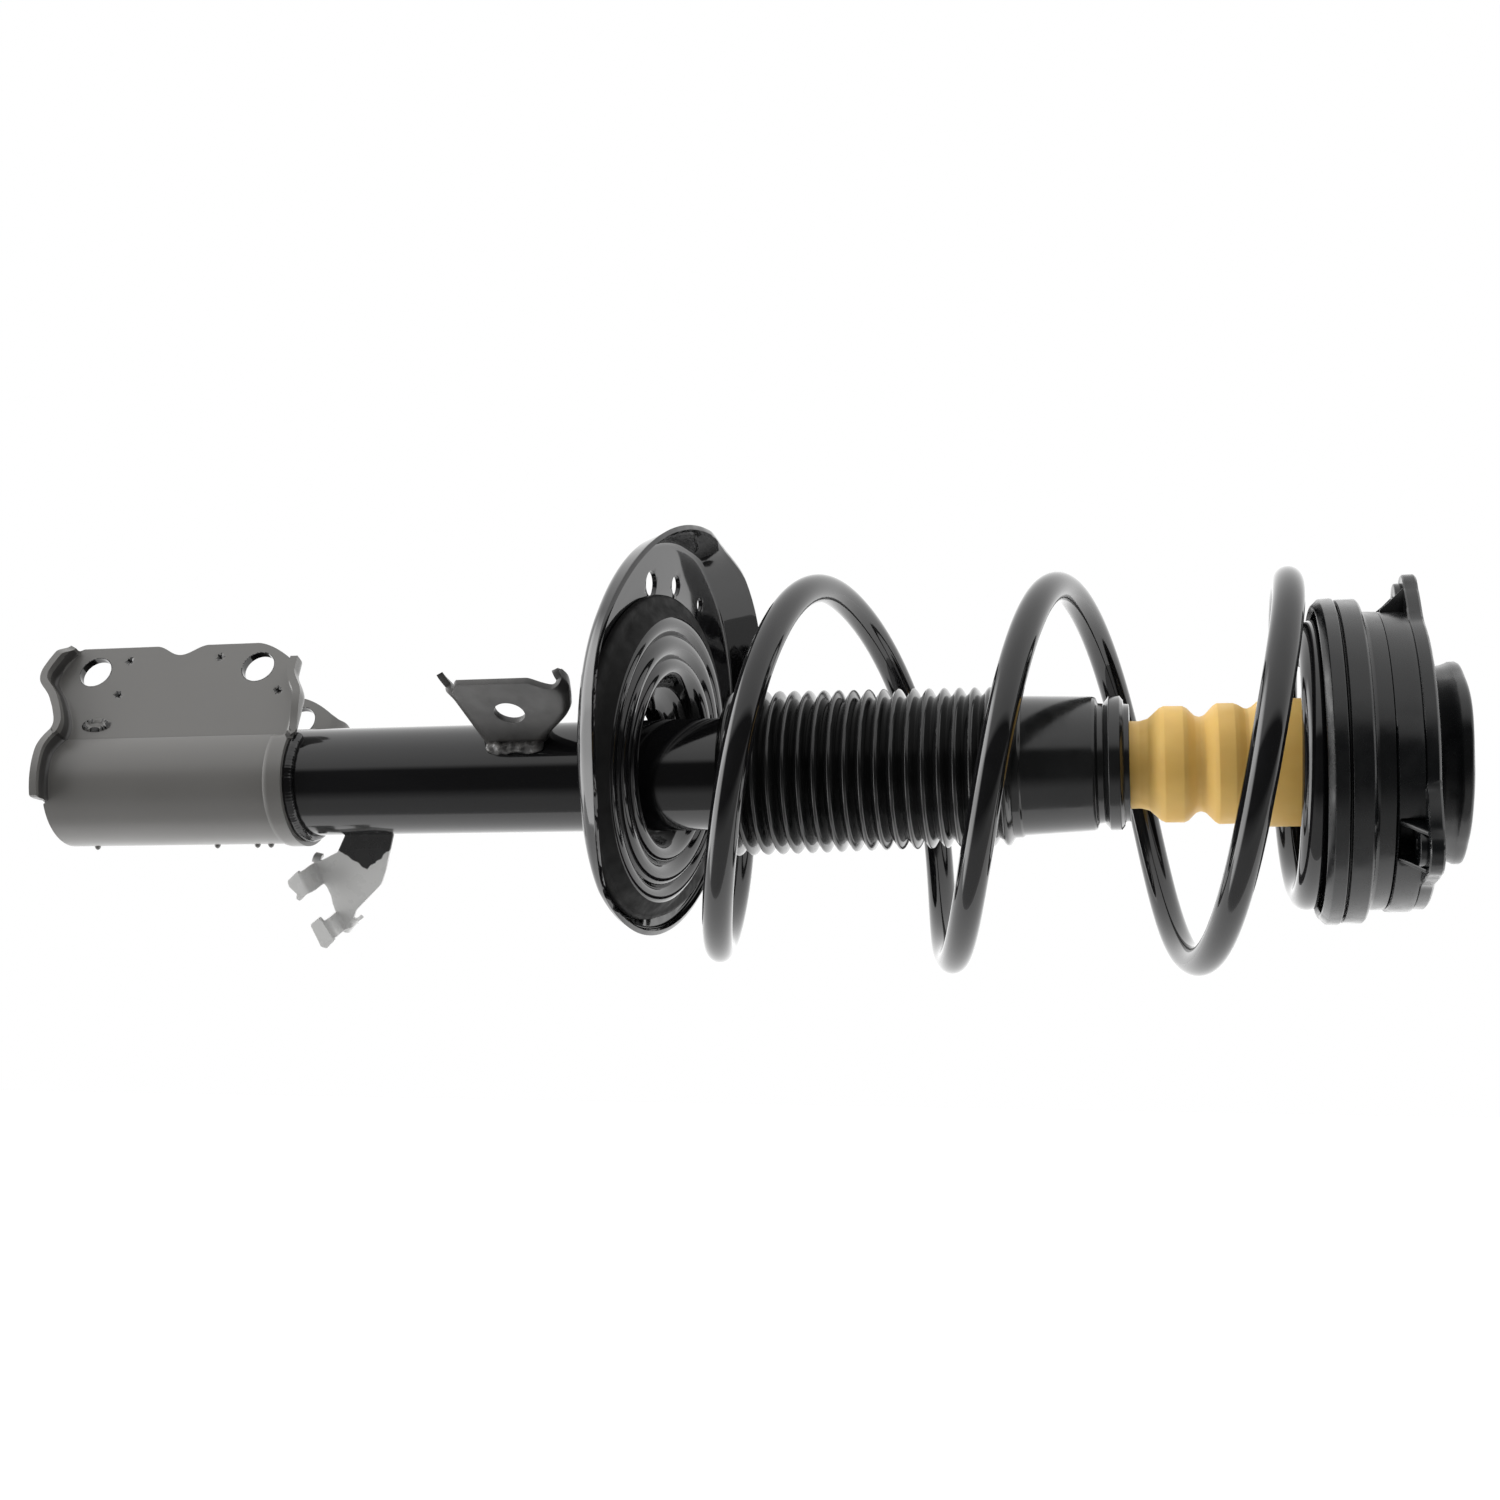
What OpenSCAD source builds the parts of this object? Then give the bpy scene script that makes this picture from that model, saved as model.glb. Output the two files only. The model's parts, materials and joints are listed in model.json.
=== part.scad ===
// MacPherson strut assembly: damper, spring, bump stop, boot, steering bearing and top mount.
// Z runs up the strut axis. Z = 0 is the top mount's bolting face. X points along the knuckle ears.

/* [Damper] */
// Outer diameter of the damper tube
tube_d = 50.8; // [48:0.1:52]
// Wall thickness of the damper tube
tube_wall = 2.4; // [1.8:0.1:3]
// Height of the damper tube's lower end
tube_low = -612; // [-618:1:-606]
// Height of the damper tube's upper end
tube_top = -240; // [-246:1:-236]
// Diameter of the piston rod
rod_d = 22; // [20:0.5:22]
// Inner diameter of the pressure tube
bore_d = 32; // [30:0.5:34]
// Radial running clearance of the rod and the piston band
run_gap = 0.06; // [0.03:0.01:0.09]

/* [Knuckle bracket] */
// Sheet thickness of the knuckle bracket
clevis_t = 3.7; // [3:0.1:4.5]
// Width over the two ears
ear_width = 54; // [52:0.5:55]
// Diameter of the two knuckle bolt holes
knuckle_hole_d = 16.2; // [12:0.1:17]
// Distance of the bolt holes from the strut axis
knuckle_hole_x = 49.3; // [45:0.1:52]
// Height of the upper knuckle bolt hole
knuckle_hole_top = -528.8; // [-532:0.1:-525]
// Distance between the two knuckle bolt holes
knuckle_pitch = 86.6; // [80:0.1:88]
// Distance of the ears' outer edge from the strut axis
ear_reach = 63.2; // [60:0.1:66]

/* [Link and hose brackets] */
// Direction of the stabiliser link bracket around the axis
link_az = 83.8; // [75:0.1:95]
// Diameter of the stabiliser link hole
link_hole_d = 14; // [10:0.1:14.5]
// Direction of the hose clip bracket around the axis
clip_az = 225.6; // [215:0.1:235]

/* [Spring] */
// Diameter of the spring wire
wire_d = 13; // [11:0.1:13.5]
// Mean radius of the active coils
coil_r = 81.5; // [80:0.1:83]
// Mean radius of the closed upper coil
pigtail_r = 55; // [54:0.1:55.2]
// Rise of one active turn
coil_pitch = 95.3; // [90:0.1:98]

/* [Lower seat] */
// Radius of the lower seat's rim
seat_r = 94.6; // [92:0.1:97]
// Tilt of the lower seat
seat_tilt = 9.4; // [6:0.1:11]
// Offset of the seat's centre from the strut axis
seat_offset = 23; // [18:0.1:26]

/* [Top mount] */
// Bolt circle diameter of the three threaded inserts
tower_pcd = 132; // [130:0.5:136]
// Bore diameter of the threaded inserts
insert_bore_d = 8.6; // [6.8:0.1:10.2]
// Direction of the first mounting lobe around the axis
lobe_az = 30.6; // [0:0.1:120]

/* [Hidden] */
$fn = 96;

eps = 0.01;
tube_r = tube_d / 2;
tube_ri = tube_r - tube_wall;
rod_r = rod_d / 2;
bore_r = bore_d / 2;
press_r = bore_r + 1.5;

// knuckle bracket
wrap_r = tube_r + clevis_t;
ear_y = ear_width / 2;
ear_x0 = 10.4;
clevis_top = -501;
clevis_low = -628;
lip_w = 9;
lip_top = -499.5;

// bellows and collar
boot_low = -296.4;
boot_top = -168.4;
boot_ribs = 19;
boot_wall = 1.3;
collar_top = -118.6;

// bump stop
stop_low = -150;
stop_top = -30.2;
stop_bore_r = rod_r + 0.5;

// bearing
ball_r = 3;
ball_circle_r = 55;
ball_z = -23.5;
ball_count = 24;

// spring path: the angle is counted from the lower end of the wire
spring_az0 = -42;
spring_turn = 1398;
spring_step = 9.5;
spring_z0 = -309.4;
ramp_low = 94.8;
ramp_top = 970.5;
ramp_soft = 12;
closed_rise = 0.0256;
bow_az = 120.6;
bow_rise = 8;

// ---------- helpers ----------
module ring(r_out, r_in, z0, z1) {
    difference() {
        translate([0, 0, z0]) cylinder(r = r_out, h = z1 - z0);
        translate([0, 0, z0 - 1]) cylinder(r = r_in, h = z1 - z0 + 2);
    }
}

module disc(r, z0, z1) {
    translate([0, 0, z0]) cylinder(r = r, h = z1 - z0);
}

module spin(points) {
    rotate_extrude() polygon(points);
}

module around(count, first = 0) {
    for (i = [0 : count - 1]) rotate(first + i * 360 / count) children();
}

// a pie slice that keeps what lies between two directions less than 180 degrees apart
module sector(a0, a1, r, z0, z1) {
    mid = (a0 + a1) / 2;
    far = r / cos((a1 - a0) / 4);
    translate([0, 0, z0]) linear_extrude(z1 - z0)
        polygon([[0, 0], r * [cos(a0), sin(a0)], far * [cos(mid), sin(mid)], r * [cos(a1), sin(a1)]]);
}

function lerp(a, b, t) = a + (b - a) * t;
function smooth(t) = let (c = min(1, max(0, t))) c * c * (3 - 2 * c);

// ---------- damper ----------
module damper_tube() {
    color([0.03, 0.03, 0.035]) ring(tube_r, tube_ri, tube_low, tube_top);
}

module tube_base_cap() {
    color([0.05, 0.05, 0.05]) difference() {
        union() {
            disc(tube_r, tube_low - 4, tube_low);
            disc(tube_ri, tube_low - eps, tube_low + 5);
        }
        disc(tube_ri - 5, tube_low + 1, tube_low + 6);
    }
}

module pressure_tube() {
    color([0.6, 0.6, 0.62]) ring(press_r, bore_r, tube_low + 12, tube_top - 18);
}

module base_valve() {
    z = tube_low + 12;
    color([0.55, 0.5, 0.4]) difference() {
        union() {
            disc(press_r, tube_low + 7, z);
            disc(bore_r, z - eps, z + 9);
            disc(4, z, z + 14);
            disc(press_r - 2, tube_low + 5, z);
        }
        around(6) translate([9.5, 0, tube_low]) cylinder(r = 1.6, h = 30);
    }
}

module rod_guide() {
    z = tube_top - 18;
    color([0.5, 0.5, 0.48]) difference() {
        union() {
            disc(tube_ri, z, tube_top - 7);
            disc(bore_r, z - 5, z + eps);
        }
        disc(rod_r + run_gap, z - 6, tube_top);
        around(4) translate([19.5, 0, z - 1]) cylinder(r = 1.5, h = 20);
    }
}

module oil_seal() {
    color([0.08, 0.08, 0.1]) difference() {
        disc(tube_ri, tube_top - 7, tube_top);
        disc(rod_r + run_gap, tube_top - 8, tube_top + 1);
        spin([[rod_r + 1.2, tube_top - 4], [rod_r + 5, tube_top - 4], [rod_r + 6, tube_top + 1],
              [rod_r + 2, tube_top + 1]]);
    }
}

module tube_end_cap() {
    skin = 1.2;
    color([0.1, 0.1, 0.1]) spin([[rod_r + 2, tube_top], [tube_r, tube_top], [tube_r, tube_top - 14],
        [tube_r + skin, tube_top - 14], [tube_r + skin, tube_top + 1], [tube_r - 0.5, tube_top + 2.5],
        [rod_r + 2, tube_top + 2.5]]);
}

// ---------- piston group, on the rod ----------
piston_z = -300;

module piston_rod() {
    color([0.8, 0.8, 0.82]) union() {
        spin([[0, piston_z - 20], [6, piston_z - 20], [6, piston_z + 10], [rod_r, piston_z + 10],
              [rod_r, -22], [7, -22], [7, 11], [6, 12], [0, 12]]);
    }
}

module piston() {
    body_r = bore_r - 0.4;
    color([0.5, 0.5, 0.5]) difference() {
        ring(body_r, 6, piston_z - 10, piston_z + 10);
        ring(body_r + 1, body_r - 1.6, piston_z - 6, piston_z + 6);
        around(6) translate([10, 0, piston_z - 11]) cylinder(r = 1.5, h = 22);
    }
}

module piston_band() {
    color([0.3, 0.25, 0.18]) ring(bore_r - run_gap, bore_r - 2, piston_z - 6, piston_z + 6);
}

module piston_nut() {
    color([0.6, 0.6, 0.6]) difference() {
        translate([0, 0, piston_z - 19]) cylinder(r = 11, h = 9, $fn = 6);
        disc(6, piston_z - 20, piston_z - 9);
    }
}

module rebound_stop() {
    color([0.12, 0.12, 0.12]) ring(15, rod_r, tube_top - 33, tube_top - 23.4);
}

// ---------- knuckle bracket ----------
ear_dip_z0 = -558;
ear_dip_z1 = -586;
ear_dip = 5.4;
lip_wave = 11;

// height of the ears' lower end: one wave, deepest next to the lower bolt hole
function ear_end(x) = clevis_low - lip_wave * (1 + cos(180 * min(1, abs(x - 48) / 24))) / 2;

// the ears' outer edge between the two holes sinks by a smooth dip
function ear_edge(z) = let (t = (z - ear_dip_z1) / (ear_dip_z0 - ear_dip_z1))
    ear_reach - ear_dip * (1 - cos(360 * min(1, max(0, t)))) / 2;

ear_outline = concat(
    [[ear_x0, lip_top - 5], [38, lip_top - 5], [50, -510]],
    [for (a = [0 : 18 : 90]) [53 + 10.2 * sin(a), -536 + 23 * cos(a)]],
    [for (z = [ear_dip_z0 + 4 : -4 : ear_dip_z1 - 4]) [ear_edge(z), z]],
    [for (x = [ear_reach : -3.3 : ear_x0]) [x, ear_end(x)]],
    [[ear_x0, ear_end(ear_x0)]]);

low_lip_reach = 58;
low_lip = concat(
    [for (x = [ear_x0 : 3.4 : low_lip_reach]) [x, ear_end(x) + clevis_t]],
    [for (x = [low_lip_reach : -3.4 : ear_x0]) [x, ear_end(x)]]);

// height of the flange over the ears' upper end
function lip_line(x) = lip_top - 6 * smooth((x - 34) / 20);
top_lip_reach = 51;
top_lip = concat(
    [for (x = [ear_x0 : 3.4 : top_lip_reach]) [x, lip_line(x)]],
    [for (x = [top_lip_reach : -3.4 : ear_x0]) [x, lip_line(x) - clevis_t]]);

// extrudes an outline drawn in X and Z along Y
module along_y(y0, y1) {
    translate([0, y1, 0]) rotate([90, 0, 0]) linear_extrude(y1 - y0) children();
}

module ear() {
    along_y(ear_y - clevis_t, ear_y) polygon(ear_outline);
    along_y(ear_y - clevis_t, ear_y + lip_w) polygon(low_lip);
    // the upper flange leaves the ear in a wide bend
    for (step = [[-clevis_t, 0.4, -3.4], [-1.5, 4, -1.5], [2, lip_w, 0]])
        along_y(ear_y + step[0], ear_y + step[1]) translate([0, step[2]]) polygon(top_lip);
    // raised bead beside the tube
    translate([19, ear_y - 1.9, -612]) cylinder(r = 3.2, h = 13, $fn = 32);
}

module ear_dimples() {
    for (p = [[55.3, -598.5], [35.6, -599.4], [55.7, -550.4], [35.5, -515.2]])
        translate([p[0], ear_y + 0.5, p[1]]) sphere(r = 1.9, $fn = 24);
}

module knuckle_bracket() {
    color([0.2, 0.2, 0.2]) difference() {
        union() {
            difference() {
                union() {
                    disc(wrap_r, clevis_low, clevis_top);
                    disc(wrap_r + 0.7, clevis_top - 10, clevis_top);
                    intersection() {
                        disc(wrap_r + lip_w - 1.5, clevis_low, clevis_low + clevis_t);
                        union() {
                            sector(60, 127, 80, clevis_low, clevis_low + clevis_t);
                            sector(-112, -60, 80, clevis_low, clevis_low + clevis_t);
                        }
                    }
                }
                translate([ear_x0 + 0.6, -60, clevis_low - 1])
                    cube([60, 120, clevis_top - clevis_low + 2]);
            }
            ear();
            mirror([0, 1, 0]) ear();
            for (z = [-615, -551, -530, -523]) rotate(210.6) translate([wrap_r - 1.5, 0, z])
                rotate([0, 90, 0]) cylinder(r = 1.4, h = 3.2, $fn = 24);
        }
        disc(tube_r, clevis_low - 20, clevis_top + 1);
        ear_dimples();
        mirror([0, 1, 0]) ear_dimples();
        for (z = [knuckle_hole_top, knuckle_hole_top - knuckle_pitch])
            translate([knuckle_hole_x, 60, z]) rotate([90, 0, 0])
                cylinder(r = knuckle_hole_d / 2, h = 120);
    }
}

module knuckle_weld() {
    color([0.05, 0.05, 0.05]) difference() {
        spin([[tube_r, clevis_top], [wrap_r - 0.3, clevis_top], [wrap_r - 0.7, clevis_top + 1.8],
              [tube_r + 1.3, clevis_top + 3.4], [tube_r, clevis_top + 4]]);
        translate([ear_x0, -60, clevis_top - 1]) cube([60, 120, 10]);
    }
}

// ---------- stabiliser link bracket ----------
link_t = 3;
link_hole_x = 48.8;
link_hole_z = -387.5;

module link_web() {
    polygon([[tube_r - 3, -406], [61, -411.5], [64, -407], [69, -402.5], [69, -379],
             [64.5, -374], [64.5, -369], [68, -363], [60, -358.5], [45, -362], [tube_r - 3, -377]]);
}

// a straight side flange: it leaves the web's back and splays away from it
module link_flange(outline, depth, splay) {
    steps = 3;
    for (i = [0 : steps - 1])
        translate([0, 0, splay * i / steps]) along_y(-link_t - depth * (i + 1) / steps, -depth * i / steps)
            polygon(outline);
}

module link_bracket() {
    color([0.12, 0.12, 0.12]) rotate(link_az) difference() {
        union() {
            along_y(-link_t, 0) link_web();
            link_flange([[tube_r - 6, -407], [61, -412.5], [68.5, -415], [68.5, -412], [61, -409.5],
                         [tube_r - 6, -404]], 3.5, -2);
            link_flange([[tube_r - 8, -376], [45, -362], [60, -358.5], [67, -362], [66, -365],
                         [60, -361.7], [46, -365.2], [tube_r - 8, -379]], 5, -1.2);
        }
        disc(tube_r, -420, -350);
        translate([link_hole_x, 5, link_hole_z]) rotate([90, 0, 0])
            cylinder(r = link_hole_d / 2, h = 12);
    }
}

module link_bracket_weld() {
    color([0.1, 0.1, 0.1]) rotate(link_az) difference() {
        along_y(0, 4) polygon([[tube_r - 2, -402], [29.5, -400], [30, -390], [29.2, -380],
                                [tube_r - 2, -378]]);
        disc(tube_r, -420, -350);
        translate([30.5, 4.5, -410]) cylinder(r = 3.4, h = 50, $fn = 32);
    }
}

// ---------- hose clip bracket ----------
clip_t = 2.2;
clip_plane = 6.6;
clip_step = 11;

// outlines are drawn as distance from the strut axis and height
clip_plate = [[23, -484], [25.6, -485.6], [33.2, -490.2], [37.9, -500.6], [36.4, -503.5], [44.4, -502.5],
    [46.1, -500.9], [50.6, -498], [54.9, -496.4], [58.8, -496.3], [63.7, -495], [72.5, -492.2],
    [66.8, -486.7], [62.4, -485], [49.5, -470], [43, -466.9], [24.6, -460.5], [23, -460]];
clip_upper_arm = [[38.2, -502.4], [44.6, -500.8], [48.8, -498.4], [50.1, -502.9], [45.8, -505.2],
                  [38.6, -506.6]];
clip_lower_arm = [[63, -493.8], [72, -490.9], [73.6, -493.6], [64, -497.6]];
clip_upper_tab = [[43.6, -512.4], [39.8, -507.8], [38.6, -506], [45.8, -504.6], [50.1, -502.9],
                  [53.6, -507.2],
    [52.7, -509.3]];
clip_lower_tab = [[65.7, -503.9], [61.9, -498.7], [64, -497], [73.6, -492.4], [77.8, -497], [76.9, -500]];
clip_hook = [[72.5, -492.4], [66.4, -479.9], [64.4, -480.9], [70.5, -493]];

module hose_clip_bracket() {
    face = -clip_plane;
    front = face - clip_step;
    color([0.3, 0.3, 0.3]) rotate(clip_az) difference() {
        union() {
            along_y(face, face + clip_t) polygon(clip_plate);
            along_y(front, face + clip_t) polygon(clip_upper_arm);
            along_y(front, face + clip_t) polygon(clip_lower_arm);
            along_y(front, front + clip_t) polygon(clip_upper_tab);
            along_y(front, front + clip_t) polygon(clip_lower_tab);
            along_y(face, face + 7) polygon(clip_hook);
            along_y(face, face + 5) translate([36.2, -503.6]) square([2.2, 3.4]);
        }
        disc(tube_r, -520, -440);
    }
}

// ---------- lower spring seat ----------
seat_az = 5;
seat_tilt_az = 147;
seat_z = -332;
seat_t = 2.6;
seat_bend = 9;
seat_rim_h = 11;
seat_rim_tilt = 4.7;
seat_rim_az = 20;
hub_shift = 7.5;
hub_az = 30.6;

module in_seat_frame() {
    translate([seat_offset * cos(seat_az), seat_offset * sin(seat_az), seat_z])
        rotate([0, 0, seat_tilt_az]) rotate([0, seat_tilt, 0]) rotate([0, 0, -seat_tilt_az]) children();
}

// moves from the seat's centre to the centre of its stamped hub
module at_hub() {
    translate([hub_shift * cos(hub_az) - seat_offset * cos(seat_az),
               hub_shift * sin(hub_az) - seat_offset * sin(seat_az), 0]) children();
}

// a quarter bend from the flat pan into the rim's wall
function pan_bend(bend) = [for (a = [0 : 18 : 90]) [bend * sin(a), bend * (1 - cos(a))]];

module seat_pan() {
    flat_r = seat_r - seat_bend;
    top = 2 * seat_rim_h;
    outer = pan_bend(seat_bend);
    inner = pan_bend(seat_bend - seat_t);
    spin(concat([[0, 0]], [for (p = outer) [flat_r + p[0], p[1]]], [[seat_r, top], [seat_r - seat_t, top]],
                [for (i = [len(inner) - 1 : -1 : 0]) [flat_r + inner[i][0], seat_t + inner[i][1]]],
                [[0, seat_t]]));
}

// three stamped ridges round the tube, ending in a collar
seat_hub = [[69, 0], [66.5, 5.5], [64, 8.8], [61, 9.6], [57.6, 7.4], [53, 10.4], [50, 9.8], [47, 8.2],
            [43.5, 11], [40.5, 9.6], [38, 3], [35, -1.5], [24, -1.5]];

// direction, distance from the seat's centre and radius of the drain holes
seat_holes = [[49, 69.4, 5.2], [25.2, 67.8, 4.2], [-0.4, 71.1, 2.5]];

module hub_sheet() {
    n = len(seat_hub) - 1;
    spin(concat([for (p = seat_hub) [p[0], p[1] + seat_t]], [for (i = [n : -1 : 0]) seat_hub[i]]));
}

module lower_spring_seat() {
    color([0.04, 0.04, 0.045]) difference() {
        in_seat_frame() {
            difference() {
                seat_pan();
                rotate(seat_rim_az) translate([0, 0, seat_rim_h]) rotate([0, -seat_rim_tilt, 0])
                    disc(200, 0, 60);
                at_hub() disc(67.5, -1, 10);
                for (h = seat_holes)
                    rotate(h[0]) translate([h[1], 0, -5]) cylinder(r = h[2], h = 20, $fn = 48);
            }
            at_hub() hub_sheet();
        }
        disc(tube_r, -400, -250);
    }
}

module lower_seat_weld() {
    color([0.04, 0.04, 0.04]) ring(tube_r + 2.5, tube_r, -345, -341);
}

module lower_spring_pad() {
    thickness = 2.9;
    color([0.08, 0.08, 0.08]) difference() {
        intersection() {
            disc(coil_r + 3.7, -370, -290);
            in_seat_frame() disc(seat_r - seat_bend - 0.2, seat_t, seat_t + thickness);
        }
        in_seat_frame() at_hub() disc(69.6, 0, 20);
    }
}

// ---------- coil spring ----------
function softplus(x) = x / ramp_soft > 30 ? x : ramp_soft * ln(1 + exp(x / ramp_soft));
// the coils bow: the side away from azimuth bow_az stands higher, most on the lowest coil, not on the last
function bow(a) = bow_rise * smooth((a - 230) / 100) * lerp(1, 0.3, min(1, max(0, a - 377) / 360))
    * (1 - smooth((a - 990) / 80)) * pow(max(0, -cos(spring_az0 - a - bow_az)), 2);
function wire_z(a) = spring_z0 + closed_rise * a + bow(a)
    + (coil_pitch / 360) * (softplus(a - ramp_low) - softplus(a - ramp_top));
function wire_r(a) = lerp(coil_r, pigtail_r, smooth((a - 965) / 235));
function wire_shift(a) = lerp(2.7, -2.8, smooth((a - 60) / 520)) + 1.4 * smooth((a - 1050) / 130);
function wire_at(a) = let (az = spring_az0 - a, r = wire_r(a), c = wire_shift(a))
    [r * cos(az) + c * cos(hub_az), r * sin(az) + c * sin(hub_az), wire_z(a)];
function unit(v) = v / norm(v);

wire_sides = 12;
wire_steps = round(spring_turn / spring_step);
wire_angles = [for (i = [0 : wire_steps]) i * spring_turn / wire_steps];

function wire_ring(a) = let (p = wire_at(a), t = unit(wire_at(a + 1) - wire_at(a - 1)),
        side = unit(cross([0, 0, 1], t)), up = cross(t, side))
    [for (k = [0 : wire_sides - 1]) let (q = 360 * k / wire_sides)
        p + wire_d / 2 * (cos(q) * side + sin(q) * up)];

module coil_spring() {
    rings = [for (a = wire_angles) wire_ring(a)];
    n = len(rings);
    points = [for (r = rings) each r];
    walls = [for (i = [0 : n - 2], k = [0 : wire_sides - 1])
        let (m = (k + 1) % wire_sides, b = i * wire_sides)
        [b + k, b + m, b + wire_sides + m, b + wire_sides + k]];
    ends = [[for (k = [wire_sides - 1 : -1 : 0]) k],
            [for (k = [0 : wire_sides - 1]) (n - 1) * wire_sides + k]];
    color([0.03, 0.03, 0.035]) polyhedron(points, concat(walls, ends), convexity = 10);
}

module upper_spring_pad() {
    color([0.08, 0.08, 0.08]) ring(63.4, 47, -35, -30.2);
}

// ---------- boot, collar and bump stop ----------
rib_pitch = (boot_top - boot_low) / boot_ribs;
function crest_r(z) = lerp(37.4, 35, (z - boot_low) / (boot_top - boot_low));
root_r = 31.2;

bellows_outer = [for (i = [0 : boot_ribs - 1]) let (z = boot_low + i * rib_pitch, c = crest_r(z))
    each [[root_r, z], [root_r, z + 0.14 * rib_pitch], [c - 1, z + 0.34 * rib_pitch],
          [c, z + 0.46 * rib_pitch],
          [c, z + 0.62 * rib_pitch], [c - 1, z + 0.74 * rib_pitch], [root_r, z + 0.94 * rib_pitch]]];
bellows_inner = [for (i = [boot_ribs - 1 : -1 : 0])
    let (z = boot_low + i * rib_pitch, c = crest_r(z) - boot_wall)
    each [[root_r - boot_wall, z + rib_pitch * 0.99], [c - 1, z + 0.7 * rib_pitch], [c, z + 0.54 * rib_pitch],
          [c - 1, z + 0.38 * rib_pitch], [root_r - boot_wall, z + 0.12 * rib_pitch],
          [root_r - boot_wall, z]]];

module dust_boot() {
    color([0.06, 0.06, 0.06]) spin(concat(bellows_outer, [[root_r, boot_top], [root_r - boot_wall, boot_top]],
                                          bellows_inner));
}

module boot_collar() {
    z = boot_top;
    c = collar_top;
    color([0.05, 0.05, 0.05]) spin([[29.6, z], [31.6, z], [31.2, z + 2], [28.5, c - 15.4], [26.6, c - 14.4],
        [26.6, c - 12.2], [28.6, c - 10.4], [28.6, c - 5], [27.4, c - 3], [24.8, c - 2.8], [24.8, c],
        [19.6, c], [19.6, c - 14.8], [26.9, c - 17.8]]);
}

module bump_stop() {
    color([0.85, 0.65, 0.35]) spin([[stop_bore_r, stop_low], [16.5, stop_low], [18.6, stop_low + 3],
        [19.2, stop_low + 20], [19, -112.5], [20, -110], [24.2, -106], [25, -104], [25, -96.5], [24.2, -94.5],
        [21, -91], [20.2, -89.4], [21, -87.8], [25, -83.6], [25.9, -82], [25.9, -75], [25.2, -73],
        [23.4, -70.5], [23.4, -68.5], [26.5, -65], [27.2, -63], [27.2, stop_top], [stop_bore_r, stop_top]]);
}

// ---------- steering bearing ----------
race_r = ball_r + 0.3;

module bearing_lower() {
    color([0.09, 0.09, 0.09]) difference() {
        spin([[stop_bore_r + 2, -30], [63.8, -30], [63.8, -40.6], [65.4, -42.1], [66.2, -42.1], [68.9, -39.6],
              [68.9, -34], [65.9, -34], [65.9, -26.5], [stop_bore_r + 2, -26.5]]);
        ball_groove();
    }
}

module bearing_upper() {
    color([0.1, 0.1, 0.1]) difference() {
        spin([[40, -20.5], [59.5, -20.5], [59.5, -26], [66.3, -26], [66.3, -33.5], [68.3, -33.5],
              [68.3, -25], [67.8, -24.5], [62.8, -24.5], [62.6, -16.5], [40, -16.5]]);
        ball_groove();
    }
}

module ball_groove() {
    rotate_extrude() translate([ball_circle_r, ball_z]) circle(r = race_r, $fn = 48);
}

module bearing_balls() {
    color([0.75, 0.75, 0.78]) around(ball_count) translate([ball_circle_r, 0, ball_z])
        sphere(r = ball_r, $fn = 32);
}

module bearing_cage() {
    color([0.3, 0.28, 0.2]) difference() {
        ring(ball_circle_r + 3.8, ball_circle_r - 3.8, ball_z - 0.9, ball_z + 0.9);
        around(ball_count) translate([ball_circle_r, 0, ball_z - 2])
            cylinder(r = ball_r + 0.08, h = 4, $fn = 32);
    }
}

// ---------- top mount ----------
lobe_r = 12;
flange_t = 8;
body_low = -16.5;

module mount_housing() {
    r = tower_pcd / 2;
    color([0.08, 0.08, 0.08]) difference() {
        union() {
            disc(62.4, body_low, 1 - flange_t);
            disc(63.6, -flange_t, 0);
            // a low cone rises from the bolting face to the hub
            spin([[32, -1], [58, -1], [58, 0], [57, 2.6], [50, 3.9], [39, 5.4], [37, 7.8], [32, 7.8]]);
            around(3, lobe_az) {
                translate([r, 0, 0.4 - flange_t]) cylinder(r = lobe_r, h = flange_t - 0.4);
                translate([40, 1 - lobe_r, 0.8 - flange_t]) cube([r - 40, 2 * lobe_r - 2, flange_t - 0.8]);
            }
        }
        disc(32, body_low - 1, 9);
        around(3, lobe_az) translate([r, 0, -20]) cylinder(r = 7.5, h = 30);
    }
}

module mount_rubber() {
    color([0.07, 0.07, 0.07]) spin([[12, -18], [28, -18], [32, -14], [32, -1.5], [30, -0.5], [12, -2.5]]);
}

module mount_core() {
    color([0.5, 0.5, 0.5]) union() {
        ring(12, 7, -22, -1);
        ring(30, 11, -22, -19);
    }
}

module mount_inserts() {
    color([0.7, 0.68, 0.55]) around(3, lobe_az) translate([tower_pcd / 2, 0, 0])
        ring(7.5, insert_bore_d / 2, -flange_t, 0);
}

module rod_nut() {
    color([0.65, 0.62, 0.5]) difference() {
        union() {
            translate([0, 0, 0]) cylinder(r = 12.1, h = 10, $fn = 6);
            disc(14.5, -1, 1);
        }
        disc(7, -2, 12);
    }
}

module hub_cap() {
    lip_r = 13;
    lip_at = 31;
    color([0.07, 0.07, 0.07]) difference() {
        union() {
            disc(31.7, 1, 9);
            disc(36.8, 7.8, 16);
            around(3, lobe_az + 60) translate([lip_at, 0, 10.4]) cylinder(r = lip_r, h = 5.2);
            disc(41, 10, 16);
            translate([0, 0, 15]) cylinder(r1 = 34, r2 = 31, h = 2);
        }
        disc(16, 0, 14.4);
    }
}

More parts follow.
